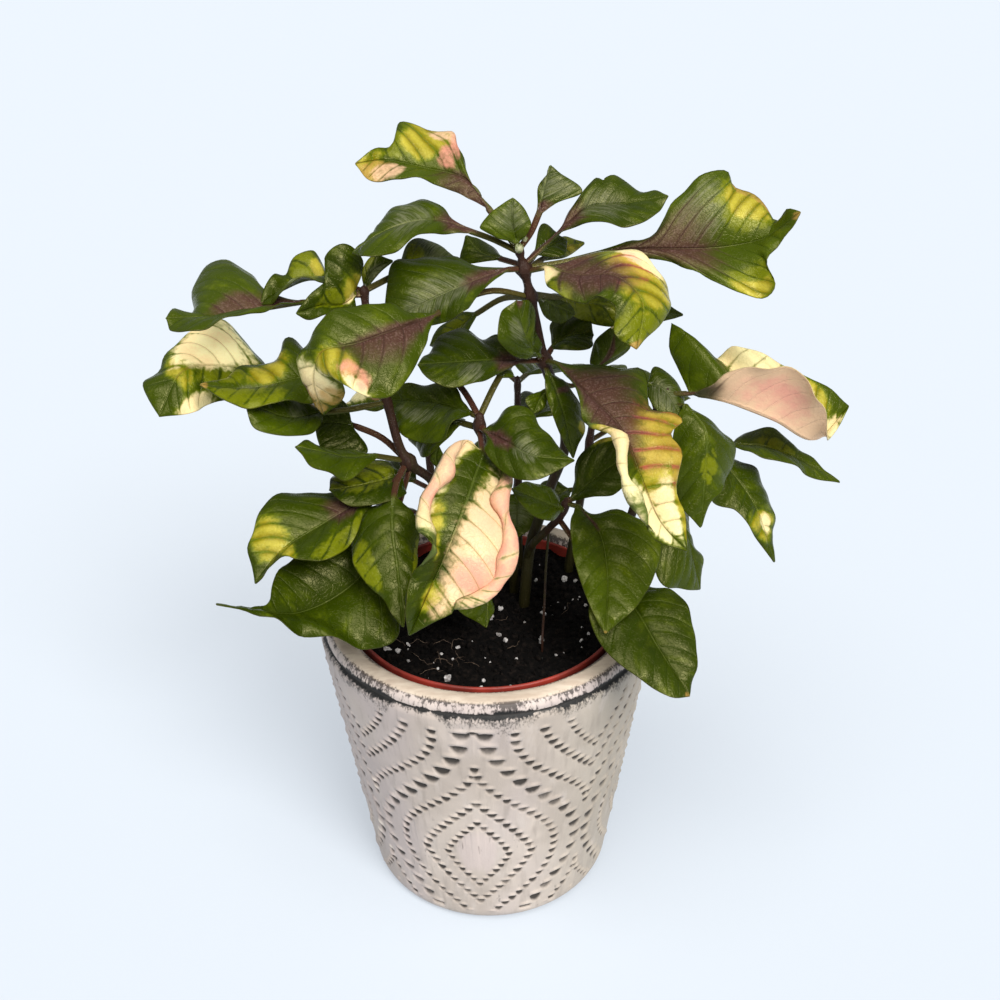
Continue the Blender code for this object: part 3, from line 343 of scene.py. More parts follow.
def pot_glaze():
    """Brushed greige glaze, dark in the dents and in the groove, rubbed off the band, cream on
    the lip. The dark in the dents is partly painted shade, their lips carry painted highlights, and
    painted shade darkens the pot's right side and, with lilac, its left. Heights and sides are in mm."""
    flow = blank("pot_glaze")
    place = {0: flow.stretched()}
    side, depth, height = (flow.node("ShaderNodeSeparateXYZ", None, place, i) / MM for i in range(3))
    patches = flow.speckle(28, 3)
    brushed = flow.speckle(260, 3, (1, 1, 0.16))
    glaze = colour(flow, (0.445, 0.378, 0.325), patches.step(0.38, 0.62), (0.560, 0.480, 0.415))
    # Lilac mottling in the glaze, laid thicker towards the left, where it partly stands for painted shade
    lilac = flow.speckle(19, 2, (1, 1, 0.7))
    glaze = glaze.blended((lilac - side * 0.004).step(0.48, 0.70) * 0.75, (0.470, 0.400, 0.380))
    # Painted shade: the glaze turns darker and warmer towards the pot's right side
    glaze = glaze.blended(((side - 12) * 0.028).step(0.0, 1.0) * 0.55, (0.345, 0.305, 0.235))
    glaze = glaze.blended(brushed.step(0.50, 0.75) * 0.38, (0.27, 0.225, 0.19))
    pale_strokes = flow.speckle(170, 3, (1, 1, 0.3)).step(0.55, 0.72)
    glaze = glaze.blended(pale_strokes * 0.45, (0.57, 0.50, 0.45))
    crackle = flow.speckle(420, 4, (1, 1, 0.4))
    glaze = glaze.blended(crackle.step(0.64, 0.72) * patches.step(0.48, 0.6) * 0.6, (0.20, 0.17, 0.15))

    # A pale worn patch with dark scratches in the heart of the front ogee
    worn_x = (side - NET_CENTRE[0]) / 9
    worn_z = (height - NET_CENTRE[1] - 1) / 14
    heart = (1 - worn_x * worn_x - worn_z * worn_z + (brushed - 0.5) * 1.4).step(-0.1, 0.6)
    heart = heart * (0 - depth).step(0, 5)
    glaze = glaze.blended(heart * 0.7, (0.580, 0.485, 0.450))
    scratch = flow.speckle(330, 3, (1, 1, 0.14)).step(0.57, 0.66)
    glaze = glaze.blended(heart * scratch * 0.7, (0.13, 0.10, 0.085))

    # Dark glaze left in the dents, partly painted shade under their upper edges, and a painted highlight on
    # the lips over them
    wash_shade_and_highlight = flow.fact("wash_shade_and_highlight")
    grain = flow.speckle(900, 3)
    glaze = glaze.blended((wash_shade_and_highlight * -2.2).least(0.75), (0.720, 0.650, 0.560))
    settled_wash_and_shade = (wash_shade_and_highlight * 1.25 + (grain - 0.5) * 0.22 + (patches - 0.5) * 0.3).step(0.08, 0.80)
    glaze = glaze.blended(settled_wash_and_shade * 0.96, (0.024, 0.019, 0.015))

    # Black brushed thinly on the wall under the groove
    fray = flow.speckle(430, 4, (1, 1, 0.5))
    dry = flow.speckle(1300, 3, (1, 1, 0.6))
    swell = flow.speckle(62, 2, (1, 1, 0)) + ((side + 20) * 0.0018).least(0.06).most(-0.06)
    below = (LINE_HEIGHT - 0.2 - height) / ((swell - 0.36) * 30).most(0.9)
    brushing = (fray + dry * 1.5 - 0.75 - below * 0.50).step(0.05, 0.62)
    brushing = brushing * (LINE_HEIGHT - height).step(0.0, 0.3) * (below * -0.5 + 1).most(0.0)
    glaze = glaze.blended(brushing, (0.030, 0.029, 0.028))

    # The band over the groove, rubbed pale, streaked with black, and the black line itself
    band = height.step(LINE_HEIGHT + 0.1, LINE_HEIGHT + 0.7)
    streak = flow.speckle(750, 3, (1, 1, 0.25))
    worn = colour(flow, (0.52, 0.44, 0.41), flow.speckle(90, 3).step(0.4, 0.6), (0.60, 0.51, 0.46))
    worn = worn.blended(streak.step(0.45, 0.7) * 0.3, (0.25, 0.20, 0.18))
    off_middle = (height - BAND_MIDDLE) / 1.6
    black = (streak * 0.9 + dry * 0.7 + off_middle * off_middle * 0.13 + swell * 0.9).step(1.25, 1.48)
    worn = worn.blended(black * 0.85, (0.035, 0.028, 0.025))
    glaze = glaze.blended(band, worn)
    line = (height - LINE_HEIGHT) / ((swell - 0.40) * 9).most(0.34).least(1.7)
    line = (fray * 1.5 + dry * 1.3 - 0.50 - line.size()).step(-0.25, 0.30)
    glaze = glaze.blended(line * 0.97, (0.006, 0.006, 0.006))

    # The cream lip, with dark specks along its edge
    lip = height.step(LIP_HEIGHT - 0.3, LIP_HEIGHT + 0.3)
    lip_brush = flow.speckle(340, 3, (0.35, 1, 1))
    cream = colour(flow, (0.655, 0.55, 0.44), lip_brush.step(0.38, 0.68), (0.54, 0.43, 0.335))
    cream = cream.blended(flow.speckle(700, 3).step(0.68, 0.76) * 0.35, (0.40, 0.31, 0.23))
    glaze = glaze.blended(lip, cream)
    edge = ((height - LIP_HEIGHT) / 0.6).size()
    specks = (1 - edge.step(0.3, 1.0)) * (dry * 0.6 + swell * 0.6).step(0.60, 0.70)
    glaze = glaze.blended(specks * 0.85, (0.07, 0.05, 0.04))
    bump = brushed * 0.35 + grain * 0.15 + flow.speckle(120, 3) * 0.5
    rough = 0.50 + flow.speckle(200, 3) * 0.16 - settled_wash_and_shade * 0.1
    return finish(glaze, rough, bump, 0.0005, Specular_IOR_Level=0.35)


cover_pot = rolled("cover_pot_glazed", *cover_pot_rings())
thinned = cover_pot.modifiers.new("thinned", "DECIMATE")
thinned.ratio = POT_KEPT
bpy.ops.object.modifier_apply(modifier="thinned")
placed(cover_pot, pot_glaze(), "pot_glaze", "cover_pot")


# Nursery pot
# Thin red plastic with a rolled rim, dropped into the cover pot. Only its rim shows, as a thin
# brick-red ring inside the cream lip.

NURSERY_BASE = POT_FLOOR + 0.0003
NURSERY_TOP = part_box("nursery_pot")[1].z - 0.0012
NURSERY_RIM = (0.0516, 0.0530)   # inner and outer radius of the rim, then of wall and floor
NURSERY_WALL = (0.0495, 0.0508)
NURSERY_FOOT = (0.0372, 0.0385)
NURSERY_THICK = 0.0013
NURSERY_COLLAR = 0.011           # height of the straight part under the rim
NURSERY_BEAD = 0.0008            # half the height of the rolled edge
NURSERY_COLUMNS = 160


def nursery_rings():
    """The pot's skin, from the middle of its floor up the inside, over the rim and down again."""
    inner, outer = NURSERY_RIM
    shoulder = NURSERY_TOP - NURSERY_COLLAR
    floor_top = NURSERY_BASE + NURSERY_THICK
    bead = NURSERY_TOP - NURSERY_BEAD
    profile = [(0.0, floor_top), (NURSERY_FOOT[0], floor_top), (NURSERY_WALL[0], shoulder)]
    profile += [(inner, shoulder + 0.002), (inner, bead)]
    middle = (inner + outer) / 2
    half = (outer - inner) / 2
    for angle in range(165, -1, -15):
        turn = math.radians(angle)
        profile.append((middle + half * math.cos(turn), bead + NURSERY_BEAD * math.sin(turn)))
    profile += [(outer - 0.0003, shoulder), (NURSERY_WALL[1], shoulder)]
    profile += [(NURSERY_FOOT[1], NURSERY_BASE), (0.0, NURSERY_BASE)]
    return turned_rings(profile, NURSERY_COLUMNS)


def red_plastic():
    flow = blank("nursery_plastic")
    scuffs = flow.speckle(240, 4, (1, 1, 3))
    red = colour(flow, (0.34, 0.032, 0.018), flow.speckle(60, 3).step(0.35, 0.65), (0.17, 0.020, 0.012))
    red = red.blended(scuffs.step(0.60, 0.75) * 0.4, (0.10, 0.03, 0.02))
    return finish(red, 0.42 + scuffs * 0.2, scuffs, 0.0002)


nursery = rolled("nursery_pot_rim", nursery_rings())
placed(nursery, red_plastic(), "nursery_plastic", "nursery_pot")


# Potting soil
# Black peat with bark crumbs, white perlite and a few pale root hairs, filling the nursery pot to
# 5 mm under its rim.

SOIL_RADIUS = 0.0512
SOIL_LEVEL = 0.1200
SOIL_FOOT = NURSERY_BASE + 0.0016
SOIL_SIDE = ((0.0488, 0.113), (0.0369, SOIL_FOOT), (0.0, SOIL_FOOT))
SOIL_RINGS = 46
SOIL_COLUMNS = 150
SOIL_LUMPS = 0.0016              # how far lumps and grains stand up
SOIL_GRAINS = 0.0006
# Count, smallest and largest half size, and how far up a piece sits, as a share of its size
CRUMBS = (1500, 0.0004, 0.0019, 0.2)
PERLITE = (120, 0.00035, 0.0016, 0.6)
ROOT_HAIR_COUNT = 16
ROOT_HAIR_PATCH = ((-34, -8), (-40, -22))   # where most of them start, x and y in mm
ROOT_HAIR_STRAY = ((-30, 34), (-36, 0))     # where every fourth one starts
ROOT_HAIR_STEPS = 12
ROOT_HAIR_STRIDE = 0.95                     # mm
ROOT_HAIR_RADII = (0.05, 0.11)              # mm


def soil_height(x, y):
    lumps = noise.noise(Vector((x * 120, y * 120, 3.0)))
    lumps += 0.6 * noise.noise(Vector((x * 310, y * 310, 8.0)))
    return SOIL_LEVEL + SOIL_LUMPS * lumps


def soil_rings():
    profile = [(r, SOIL_LEVEL) for r in np.linspace(0, SOIL_RADIUS, SOIL_RINGS)]
    rings = turned_rings([*profile, *SOIL_SIDE], SOIL_COLUMNS)
    for row in range(1, SOIL_RINGS):
        for point in rings[row]:
            fine = noise.noise(Vector((point[0] * 900, point[1] * 900, 5.0)))
            point[2] = soil_height(point[0], point[1]) + SOIL_GRAINS * fine
    return rings


def scattered(name, spots, turns, sizes, rough_seed):
    """One lump of few faces, copied to every spot with its own turn, size and dents."""
    lump = bpy.context.active_object
    shape = np.array([v.co for v in lump.data.vertices])
    faces = [tuple(f.vertices) for f in lump.data.polygons]
    bpy.data.objects.remove(lump)
    dice = np.random.default_rng(rough_seed)
    points = []
    for spot, turn, size in zip(spots, turns, sizes):
        dented = shape * dice.uniform(0.72, 1.2, (len(shape), 1))
        points.append((dented * size) @ np.array(turn).T + spot)
    count = len(shape)
    mesh = bpy.data.meshes.new(name)
    all_faces = [tuple(v + i * count for v in face) for i in range(len(points)) for face in faces]
    mesh.from_pydata(np.vstack(points).tolist(), [], all_faces)
    piece = bpy.data.objects.new(name, mesh)
    bpy.context.scene.collection.objects.link(piece)
    return piece


def random_turns(dice, count):
    turns = []
    for _ in range(count):
        axis = Vector(dice.normal(size=3)).normalized()
        turns.append(Matrix.Rotation(dice.uniform(0, 2 * math.pi), 3, axis))
    return turns


def smooth_curve(points, fractions):
    """A smooth curve through the points, read at fractions of its length."""
    p = np.array(points, float)
    if len(p) == 2:
        return p[0] + (p[1] - p[0]) * np.array(fractions)[:, None]
    knots = np.r_[0, np.cumsum(np.linalg.norm(np.diff(p, axis=0), axis=1) ** 0.75)]
    knots /= knots[-1]
    slopes = np.diff(p, axis=0) / np.diff(knots)[:, None]
    tangents = np.vstack([slopes[:1], slopes[1:], slopes[-1:]])
    for i in range(1, len(p) - 1):
        share = (knots[i] - knots[i - 1]) / (knots[i + 1] - knots[i - 1])
        tangents[i] = slopes[i - 1] * (1 - share) + slopes[i] * share
    i = np.clip(np.searchsorted(knots, fractions) - 1, 0, len(p) - 2)
    span = (knots[i + 1] - knots[i])[:, None]
    s = (np.array(fractions) - knots[i])[:, None] / span
    return ((2 * s**3 - 3 * s**2 + 1) * p[i] + (s**3 - 2 * s**2 + s) * span * tangents[i]
            + (3 * s**2 - 2 * s**3) * p[i + 1] + (s**3 - s**2) * span * tangents[i + 1])


def unit(vectors):
    vectors = np.asarray(vectors, float)
    return vectors / np.maximum(np.linalg.norm(vectors, axis=-1, keepdims=True), 1e-9)


def joined(name, pieces):
    """Several pieces made one, with the first one's material."""
    bpy.ops.object.select_all(action="DESELECT")
    for piece in pieces:
        piece.select_set(True)
    bpy.context.view_layer.objects.active = pieces[0]
    if len(pieces) > 1:
        bpy.ops.object.join()
    pieces[0].name = name
    return pieces[0]


def strewn(seed, count, low, high, rise):
    """Spots strewn over the soil, random turns and three sizes for each lump, in metres."""
    dice = np.random.default_rng(seed)
    radius = (SOIL_RADIUS - 0.0015) * np.sqrt(dice.uniform(0, 1, count))
    angle = dice.uniform(0, 2 * math.pi, count)
    sizes = low + (high - low) * dice.uniform(0, 1, (count, 1)) ** 2.5 * np.ones((1, 3))
    sizes = sizes * dice.uniform(0.6, 1.25, (count, 3))
    spots = []
    for r, a, size in zip(radius, angle, sizes):
        x, y = r * math.cos(a), r * math.sin(a)
        spots.append((x, y, soil_height(x, y) + rise * size.mean()))
    return spots, random_turns(dice, count), sizes


def mottled(name, grain, first, low, high, second):
    """A new material's colour, turning from first to second with a noise, and that noise."""
    tone = blank(name).speckle(*grain)
    return colour(tone, first, tone.step(low, high), second), tone


def peat():
    dark = mottled("potting_soil", (500, 4), (0.0022, 0.0017, 0.0015), 0.45, 0.75, (0.013, 0.009, 0.007))[0]
    return finish(dark, 0.95, dark.speckle(1400, 4), 0.0006, Specular_IOR_Level=0.12)


def perlite():
    white, grains = mottled("perlite", (900, 3), (0.42, 0.39, 0.38), 0.35, 0.6, (0.66, 0.63, 0.61))
    dirty = white.blended(white.speckle(300, 3).step(0.5, 0.68) * 0.8, (0.12, 0.10, 0.09))
    return finish(dirty, 0.85, grains, 0.0004)


def thread_rings(points, radius, sides=5):
    """Rings of a thin round thread along points in mm, drawn in to a tip at both ends."""
    points = np.array(points, float)
    ahead = unit(np.gradient(points, axis=0))
    side = unit(np.cross(ahead, (0.31, 0.17, 0.93)))
    other = np.cross(ahead, side)
    turn = np.linspace(0, 2 * math.pi, sides, endpoint=False)[:, None]
    thin = radius * np.sin(np.linspace(0, math.pi, len(points))) ** 0.4
    rings = [p + r * (np.cos(turn) * a + np.sin(turn) * b) for p, a, b, r in zip(points, side, other, thin)]
    return np.array(rings) * MM


def root_hairs():
    """Fine root hairs lying over the soil, most of them at the front left."""
    dice = np.random.default_rng(31)
    parts = []
    for i in range(ROOT_HAIR_COUNT):
        x, y = (dice.uniform(*span) for span in ROOT_HAIR_PATCH)
        if i % 4 == 0:
            x, y = (dice.uniform(*span) for span in ROOT_HAIR_STRAY)
        heading = dice.uniform(0, 2 * math.pi)
        steps = []
        for step in range(ROOT_HAIR_STEPS):
            heading += dice.normal() * 0.35
            x += math.cos(heading) * ROOT_HAIR_STRIDE
            y += math.sin(heading) * ROOT_HAIR_STRIDE
            rise = 1.6 * math.sin(math.pi * step / (ROOT_HAIR_STEPS - 1)) * dice.uniform(0.5, 1)
            steps.append((x, y, soil_height(x * MM, y * MM) / MM + 0.35 + rise))
        fine = smooth_curve(steps, np.linspace(0, 1, 30))
        parts.append(rolled("hair_%d" % i, thread_rings(fine, dice.uniform(*ROOT_HAIR_RADII))))
    return joined("root_hairs", parts)


def pale_root():
    pale = mottled("root_hair", (700, 3), (0.08, 0.050, 0.032), 0.4, 0.6, (0.18, 0.125, 0.085))[0]
    return finish(pale, 0.7)


soil_finish = peat()
soil_plug = rolled("soil_plug", soil_rings())
placed(soil_plug, soil_finish, "potting_soil", "soil")

bpy.ops.mesh.primitive_ico_sphere_add(subdivisions=1, radius=1)
crumbs = scattered("soil_crumbs", *strewn(11, *CRUMBS), 12)
placed(crumbs, soil_finish, "potting_soil")

bpy.ops.mesh.primitive_ico_sphere_add(subdivisions=2, radius=1)
grit = scattered("perlite_grains", *strewn(21, *PERLITE), 22)
placed(grit, perlite(), "potting_soil")

placed(root_hairs(), pale_root(), "potting_soil")


# Centre stem
# The tallest stem, with a low side branch that carries four big leaves over the rim and a dry
# rootlet hanging into the soil. Young leaves at the top are silvery, partly with down and partly
# with a painted sheen, on hairy brown-purple stalks, and several blades are splashed with cream,
# yellow and pink.

STEM_SUNK = 22.0                 # how deep a stem stands in the soil, mm
STALK_WIDE = 1.15                # half width of a leaf stalk, mm
TIP_WIDE = 0.5                   # half width of the leaf's very tip, mm
PILLOW = 0.10                    # how far each half blade bulges between midrib and margin
ROOTLET_END = (21, -26, 115)
BLADE_HALF = 0.30                # half the blade's thickness, mm
MIDRIB = (0.95, 0.24)            # the midrib's radius at the stalk and at the tip, mm
VEIN_SPACING = 6.5               # between side veins along the midrib, mm
PUFF = 0.50                      # how far the blade stands up between its side veins, mm
WAVE = 0.95                      # small waves of the margin, mm
WAVES = ((17, 1.0), (8.5, 0.35))  # length of each wave in mm, and its share
BLADE_STEPS = 44
STALK_STEPS = 5
ACROSS = (0.0, 0.015, 0.04, 0.08, 0.15, 0.25, 0.36, 0.48, 0.60, 0.72, 0.80, 0.85, 0.90, 0.94, 0.975, 1.0)
ROLL_START = 0.72                # where a rolled margin begins, as a share of the half width
ROLL_TURN = 4.9                  # how far it curls, radians
STEM_STEPS = 90
STEM_SIDES = 18
# What a blade is marked with: its colours, and where it is painted to glow as if light shone through it
TINTS = ("cream", "yellow", "lime", "peach", "pink", "rose", "purple", "orange", "silver", "painted_glow")
# How the tints lie over the green, in this order: the soft edge of the spots from low to high, how
# full they get, how far side veins hold them back, how much they cover, and one or two tones
TINT_LOOKS = {
    "lime": (-0.35, 0.45, 0.46, 0.15, 0.85, (0.135, 0.152, 0.003)),
    "yellow": (-0.40, 0.40, 0.46, 0.25, 0.95, (0.19, 0.155, 0.002), (0.47, 0.40, 0.045)),
    "cream": (-0.40, 0.40, 0.85, 0.0, 0.97, (0.78, 0.69, 0.36), (0.74, 0.57, 0.29)),
    "orange": (-0.40, 0.60, 0.46, 0.0, 0.75, (0.38, 0.215, 0.055)),
    "peach": (-0.40, 0.70, 0.60, 0.0, 0.85, (0.70, 0.44, 0.275)),
    "pink": (-0.50, 0.80, 0.46, 0.0, 0.78, (0.74, 0.28, 0.215)),
    "rose": (-0.50, 0.60, 0.46, 0.0, 0.90, (0.42, 0.045, 0.060)),
}
BLUSHES = {"pink_trumpet": 0.95}  # leaves whose underside is cream and pink all over
STALK_HAIRS = 34                 # fine hairs on each leaf stalk
STEM_HAIRS = 260
STEM_BARE = 0.55                 # share of the stem, from its foot up, without hairs
HAIR_RADIUS = 0.035              # mm
HAIR_REACH = (0.35, 0.85)        # half the length of the shortest and the longest hair, mm
STEM_PLACES = 200                # places along a stem where a hair can stand
BUD_BRACTS = 14


def eased(values):
    """Values held between 0 and 1, with a soft start and end."""
    values = np.clip(values, 0, 1)
    return values * values * (3 - 2 * values)


def leaf(stalk, mid, left, right):
    """A leaf: its stalk from the stem to the blade, then midrib, left and right margin.

    Left and right are the leaf's own, seen from above with the tip pointing away.
    """
    return {"stalk": stalk, "mid": mid, "left": left, "right": right}


def plain_leaf(root, heading, rise, length, width, droop):
    """An ordinary leaf by rule: it leaves root at a heading (degrees, 0 = +X), climbs at rise
    degrees, and droops by droop mm at its tip."""
    yaw, pitch = (math.radians(a) for a in (heading, rise))
    ahead = np.array([math.cos(yaw) * math.cos(pitch), math.sin(yaw) * math.cos(pitch), math.sin(pitch)])
    side = np.array([math.sin(yaw), -math.cos(yaw), 0.0])
    lift = np.cross(side, ahead)

    def along(t):
        return np.array(root, float) + ahead * length * t - np.array([0.0, 0.0, droop * t**2])

    stations = ((0.42, 0.80, 0.10), (0.60, 1.0, 0.16), (0.82, 0.62, 0.02))
    margins = []
    for sign in (-1, 1):
        margins.append([along(t) + side * sign * width / 2 * w + lift * width * fold
                        for t, w, fold in stations])
    mid = [along(t) for t in (0.22, 0.5, 0.78, 1.0)]
    return leaf([root], mid, margins[0], margins[1])


def rooted(shape, line):
    """The same leaf with its stalk starting on the nearest stem's centre line."""
    gaps = np.linalg.norm(line - np.array(shape["stalk"][0], float), axis=1)
    return dict(shape, stalk=[tuple(line[int(np.argmin(gaps))]), *shape["stalk"][1:]])


def leaf_frame(shape):
    """The leaf's centre line with both margins, and each row's place along the leaf: 0 where the
    blade starts, 1 at its tip, below 0 on the stalk."""
    mid, left, right = (np.array(shape[key], float) for key in ("mid", "left", "right"))
    start_side = unit(right[0] - left[0])
    tip_side = unit(right[-1] - left[-1])
    t = np.linspace(0, 1, BLADE_STEPS + 1)
    centre = smooth_curve(mid, t)
    lefts = smooth_curve([mid[0] - start_side * STALK_WIDE, *left, mid[-1] - tip_side * TIP_WIDE], t)
    rights = smooth_curve([mid[0] + start_side * STALK_WIDE, *right, mid[-1] + tip_side * TIP_WIDE], t)
    length = np.linalg.norm(np.diff(centre, axis=0), axis=1).sum()

    stalk_points = [*shape["stalk"], mid[0]]
    steps = STALK_STEPS * (len(stalk_points) - 1)
    line = smooth_curve(stalk_points, np.linspace(0, 1, steps + 1))
    stalk_length = np.linalg.norm(np.diff(line, axis=0), axis=1).sum()
    ahead = unit(np.gradient(line, axis=0))[:-1]
    side = unit(rights[1] - lefts[1])
    side = unit(side - ahead * (ahead @ side)[:, None]) * STALK_WIDE
    centre = np.vstack([line[:-1], centre])
    lefts = np.vstack([line[:-1] - side, lefts])
    rights = np.vstack([line[:-1] + side, rights])
    along = np.r_[np.linspace(-stalk_length / length, 0, steps, endpoint=False), t]
    return centre, lefts, rights, along, length


def leaf_skin(shape, marks, seed, blush=0.0):
    """Rings of one leaf from its root on the stem to its tip, with the facts that its finish
    reads. Marks give the spots of each tint: (across, along, half width, half length) on the
    blade, where across runs from -1 at the left margin to 1 at the right one. The mark "rolled"
    gives rolled margins: (side, middle of the roll, its radius in mm, half its length). A blade
    marked "calm" lies smooth, with no puffs or waves."""
    centre, lefts, rights, along, length = leaf_frame(shape)
    dice = np.random.default_rng(seed)
    s = np.array([-a for a in ACROSS[:0:-1]] + list(ACROSS))
    reach = np.where(s[None, :, None] < 0, (lefts - centre)[:, None], (rights - centre)[:, None])
    wide = np.linalg.norm(reach, axis=2)
    out = np.abs(s)[None, :] + 0 * wide
    t = along[:, None] + 0 * wide
    leafy = eased(t / 0.16)
    ahead = unit(np.gradient(centre, axis=0))
    up = unit(np.cross(rights - lefts, ahead))
    bulge = PILLOW * wide * 4 * out * (1 - out) * (t > 0)
    sheet = centre[:, None] + reach * out[..., None] + up[:, None] * bulge[..., None]
    for side, middle, radius, half_long in marks.get("rolled", ()):
        on = (eased((1 - np.abs(t - middle) / half_long) * 2.5) * (s[None, :] * side > 0))[..., None]
        radius = np.minimum(radius, wide * 0.3)[..., None]
        turn = np.clip((out - ROLL_START) / (1 - ROLL_START), 0, 1)[..., None] * ROLL_TURN
        share = np.minimum(out / ROLL_START, 1)[..., None] * (wide[..., None] - radius)
        share = share + radius * np.sin(turn)
        curled = centre[:, None] + reach / np.maximum(wide, 1e-6)[..., None] * share
        curled = curled + up[:, None] * (radius * (1 - np.cos(turn)) + bulge[..., None])
        sheet = sheet * (1 - on) + curled * on
    normal = unit(np.cross(np.gradient(sheet, axis=1), np.gradient(sheet, axis=0)))
    flat = unit(normal.sum(axis=1, keepdims=True))
    hold = eased(t / 0.10)[..., None]
    hold[-1] = 0
    normal = unit(normal * hold + flat * (1 - hold))

    from_rib = out * wide
    veins = max(4, round(length / VEIN_SPACING))
    widest = max(wide.max(), 3.0)
    phase = veins * (t - (0.55 * from_rib + 0.28 * from_rib**2 / widest) / length)
    small = 0.0 if "calm" in marks else min(1.0, (widest / 13) ** 1.5)
    puffed = PUFF * small * (np.sin(math.pi * phase) ** 2 - 0.5) * 4 * out * (1 - out)
    start = dice.uniform(0, 6.3, 4)
    wave = np.zeros_like(t)
    for (spacing, share), starts in zip(WAVES, (start[:2], start[2:])):
        shift = np.where(s[None, :] < 0, *starts)
        wave += share * np.sin(2 * math.pi * t * length / spacing + shift) * out**2.5
    fade = np.clip(np.minimum(t, 1 - t) / 0.15, 0, 1)
    moved = (puffed + WAVE * wave * small) * leafy * fade
    sheet = sheet + normal * moved[..., None]

    rib = MIDRIB[0] + (MIDRIB[1] - MIDRIB[0]) * np.clip(t, 0, 1) ** 0.6
    round_wide = STALK_WIDE * (1 - leafy) + 1.25 * rib * leafy
    round_part = rib * np.sqrt(np.clip(1 - (from_rib / round_wide) ** 2, 0, 1))
    blade = BLADE_HALF * (1 - 0.45 * out**4) * (0.12 + 0.88 * leafy)
    groove = 0.22 * leafy * np.exp(-(from_rib / 0.55) ** 2) * (rib / MIDRIB[0])
    top = np.maximum(blade, round_part * 0.9 * (1 - leafy)) - groove
    low = np.maximum(blade, round_part)
    over = sheet + normal * top[..., None]
    under = sheet - normal * low[..., None]
    rings = np.concatenate([over, under[:, ::-1]], axis=1)
    root = np.broadcast_to(centre[0], rings[:1].shape)
    tip = np.broadcast_to(centre[-1] + ahead[-1] * 0.35, rings[:1].shape)

    facts = {"along": t, "across": s[None, :] + 0 * t, "rib": from_rib, "phase": phase}
    facts["edge"] = (1 - out) * wide + 3 * (1 - leafy)
    for tint in TINTS:
        field = np.full_like(t, -1.0)
        for place, height, half_wide, half_long in marks.get(tint, ()):
            spot = 1 - ((s[None, :] - place) / half_wide) ** 2 - ((t - height) / half_long) ** 2
            field = np.maximum(field, spot)
        facts[tint] = field
    facts = {key: np.concatenate([value, value[:, ::-1]], axis=1) for key, value in facts.items()}
    facts["under"] = np.concatenate([0 * t, 0 * t + 1], axis=1)
    facts["blush"] = facts["under"] * blush * eased((facts["along"] - 0.05) * 6)
    facts["tone"] = np.full(rings.shape[:2], dice.uniform())
    facts = {key: np.vstack([value[:1], value, value[-1:]]) for key, value in facts.items()}
    return np.concatenate([root, rings, tip]) * MM, facts


def stem_skin(route, thick, knots, sunk):
    """Rings of a stem along its route, swollen where leaves leave it, with low ridges. Its foot
    goes sunk mm further down."""
    fractions = np.linspace(0, 1, STEM_STEPS + 1)
    points = smooth_curve(route, fractions)
    radii = np.interp(fractions, np.linspace(0, 1, len(thick)), thick)
    radii = radii * 0.92 * np.clip((1 - fractions) / 0.05, 0.45, 1)
    for knot in knots:
        radii = radii + 0.32 * np.exp(-(np.linalg.norm(points - knot, axis=1) / 2.2) ** 2)
    if sunk:
        points = np.vstack([points[0] - [0.0, 0.0, sunk], points])
        radii = np.r_[thick[0], radii]
    ahead = unit(np.gradient(points, axis=0))
    side = np.array([1.0, 0.0, 0.0])
    turn = np.linspace(0, 2 * math.pi, STEM_SIDES, endpoint=False)
    ridge = 1 + 0.05 * np.cos(6 * turn)
    rings = []
    for point, forward, radius in zip(points, ahead, radii):
        side = unit(side - forward * side.dot(forward))
        other = np.cross(forward, side)
        rings.append(point + radius * ridge[:, None] * (np.cos(turn)[:, None] * side
                                                        + np.sin(turn)[:, None] * other))
    end = np.broadcast_to(points[-1] + ahead[-1] * radii[-1] * 0.7, rings[0].shape)
    start = np.broadcast_to(points[0], rings[0].shape)
    rings = np.array([start, *rings, end])
    age = np.r_[0, 0, fractions, 1] if sunk else np.r_[0.3, fractions, 1]
    return rings * MM, {"age": age[:, None] + 0 * turn}


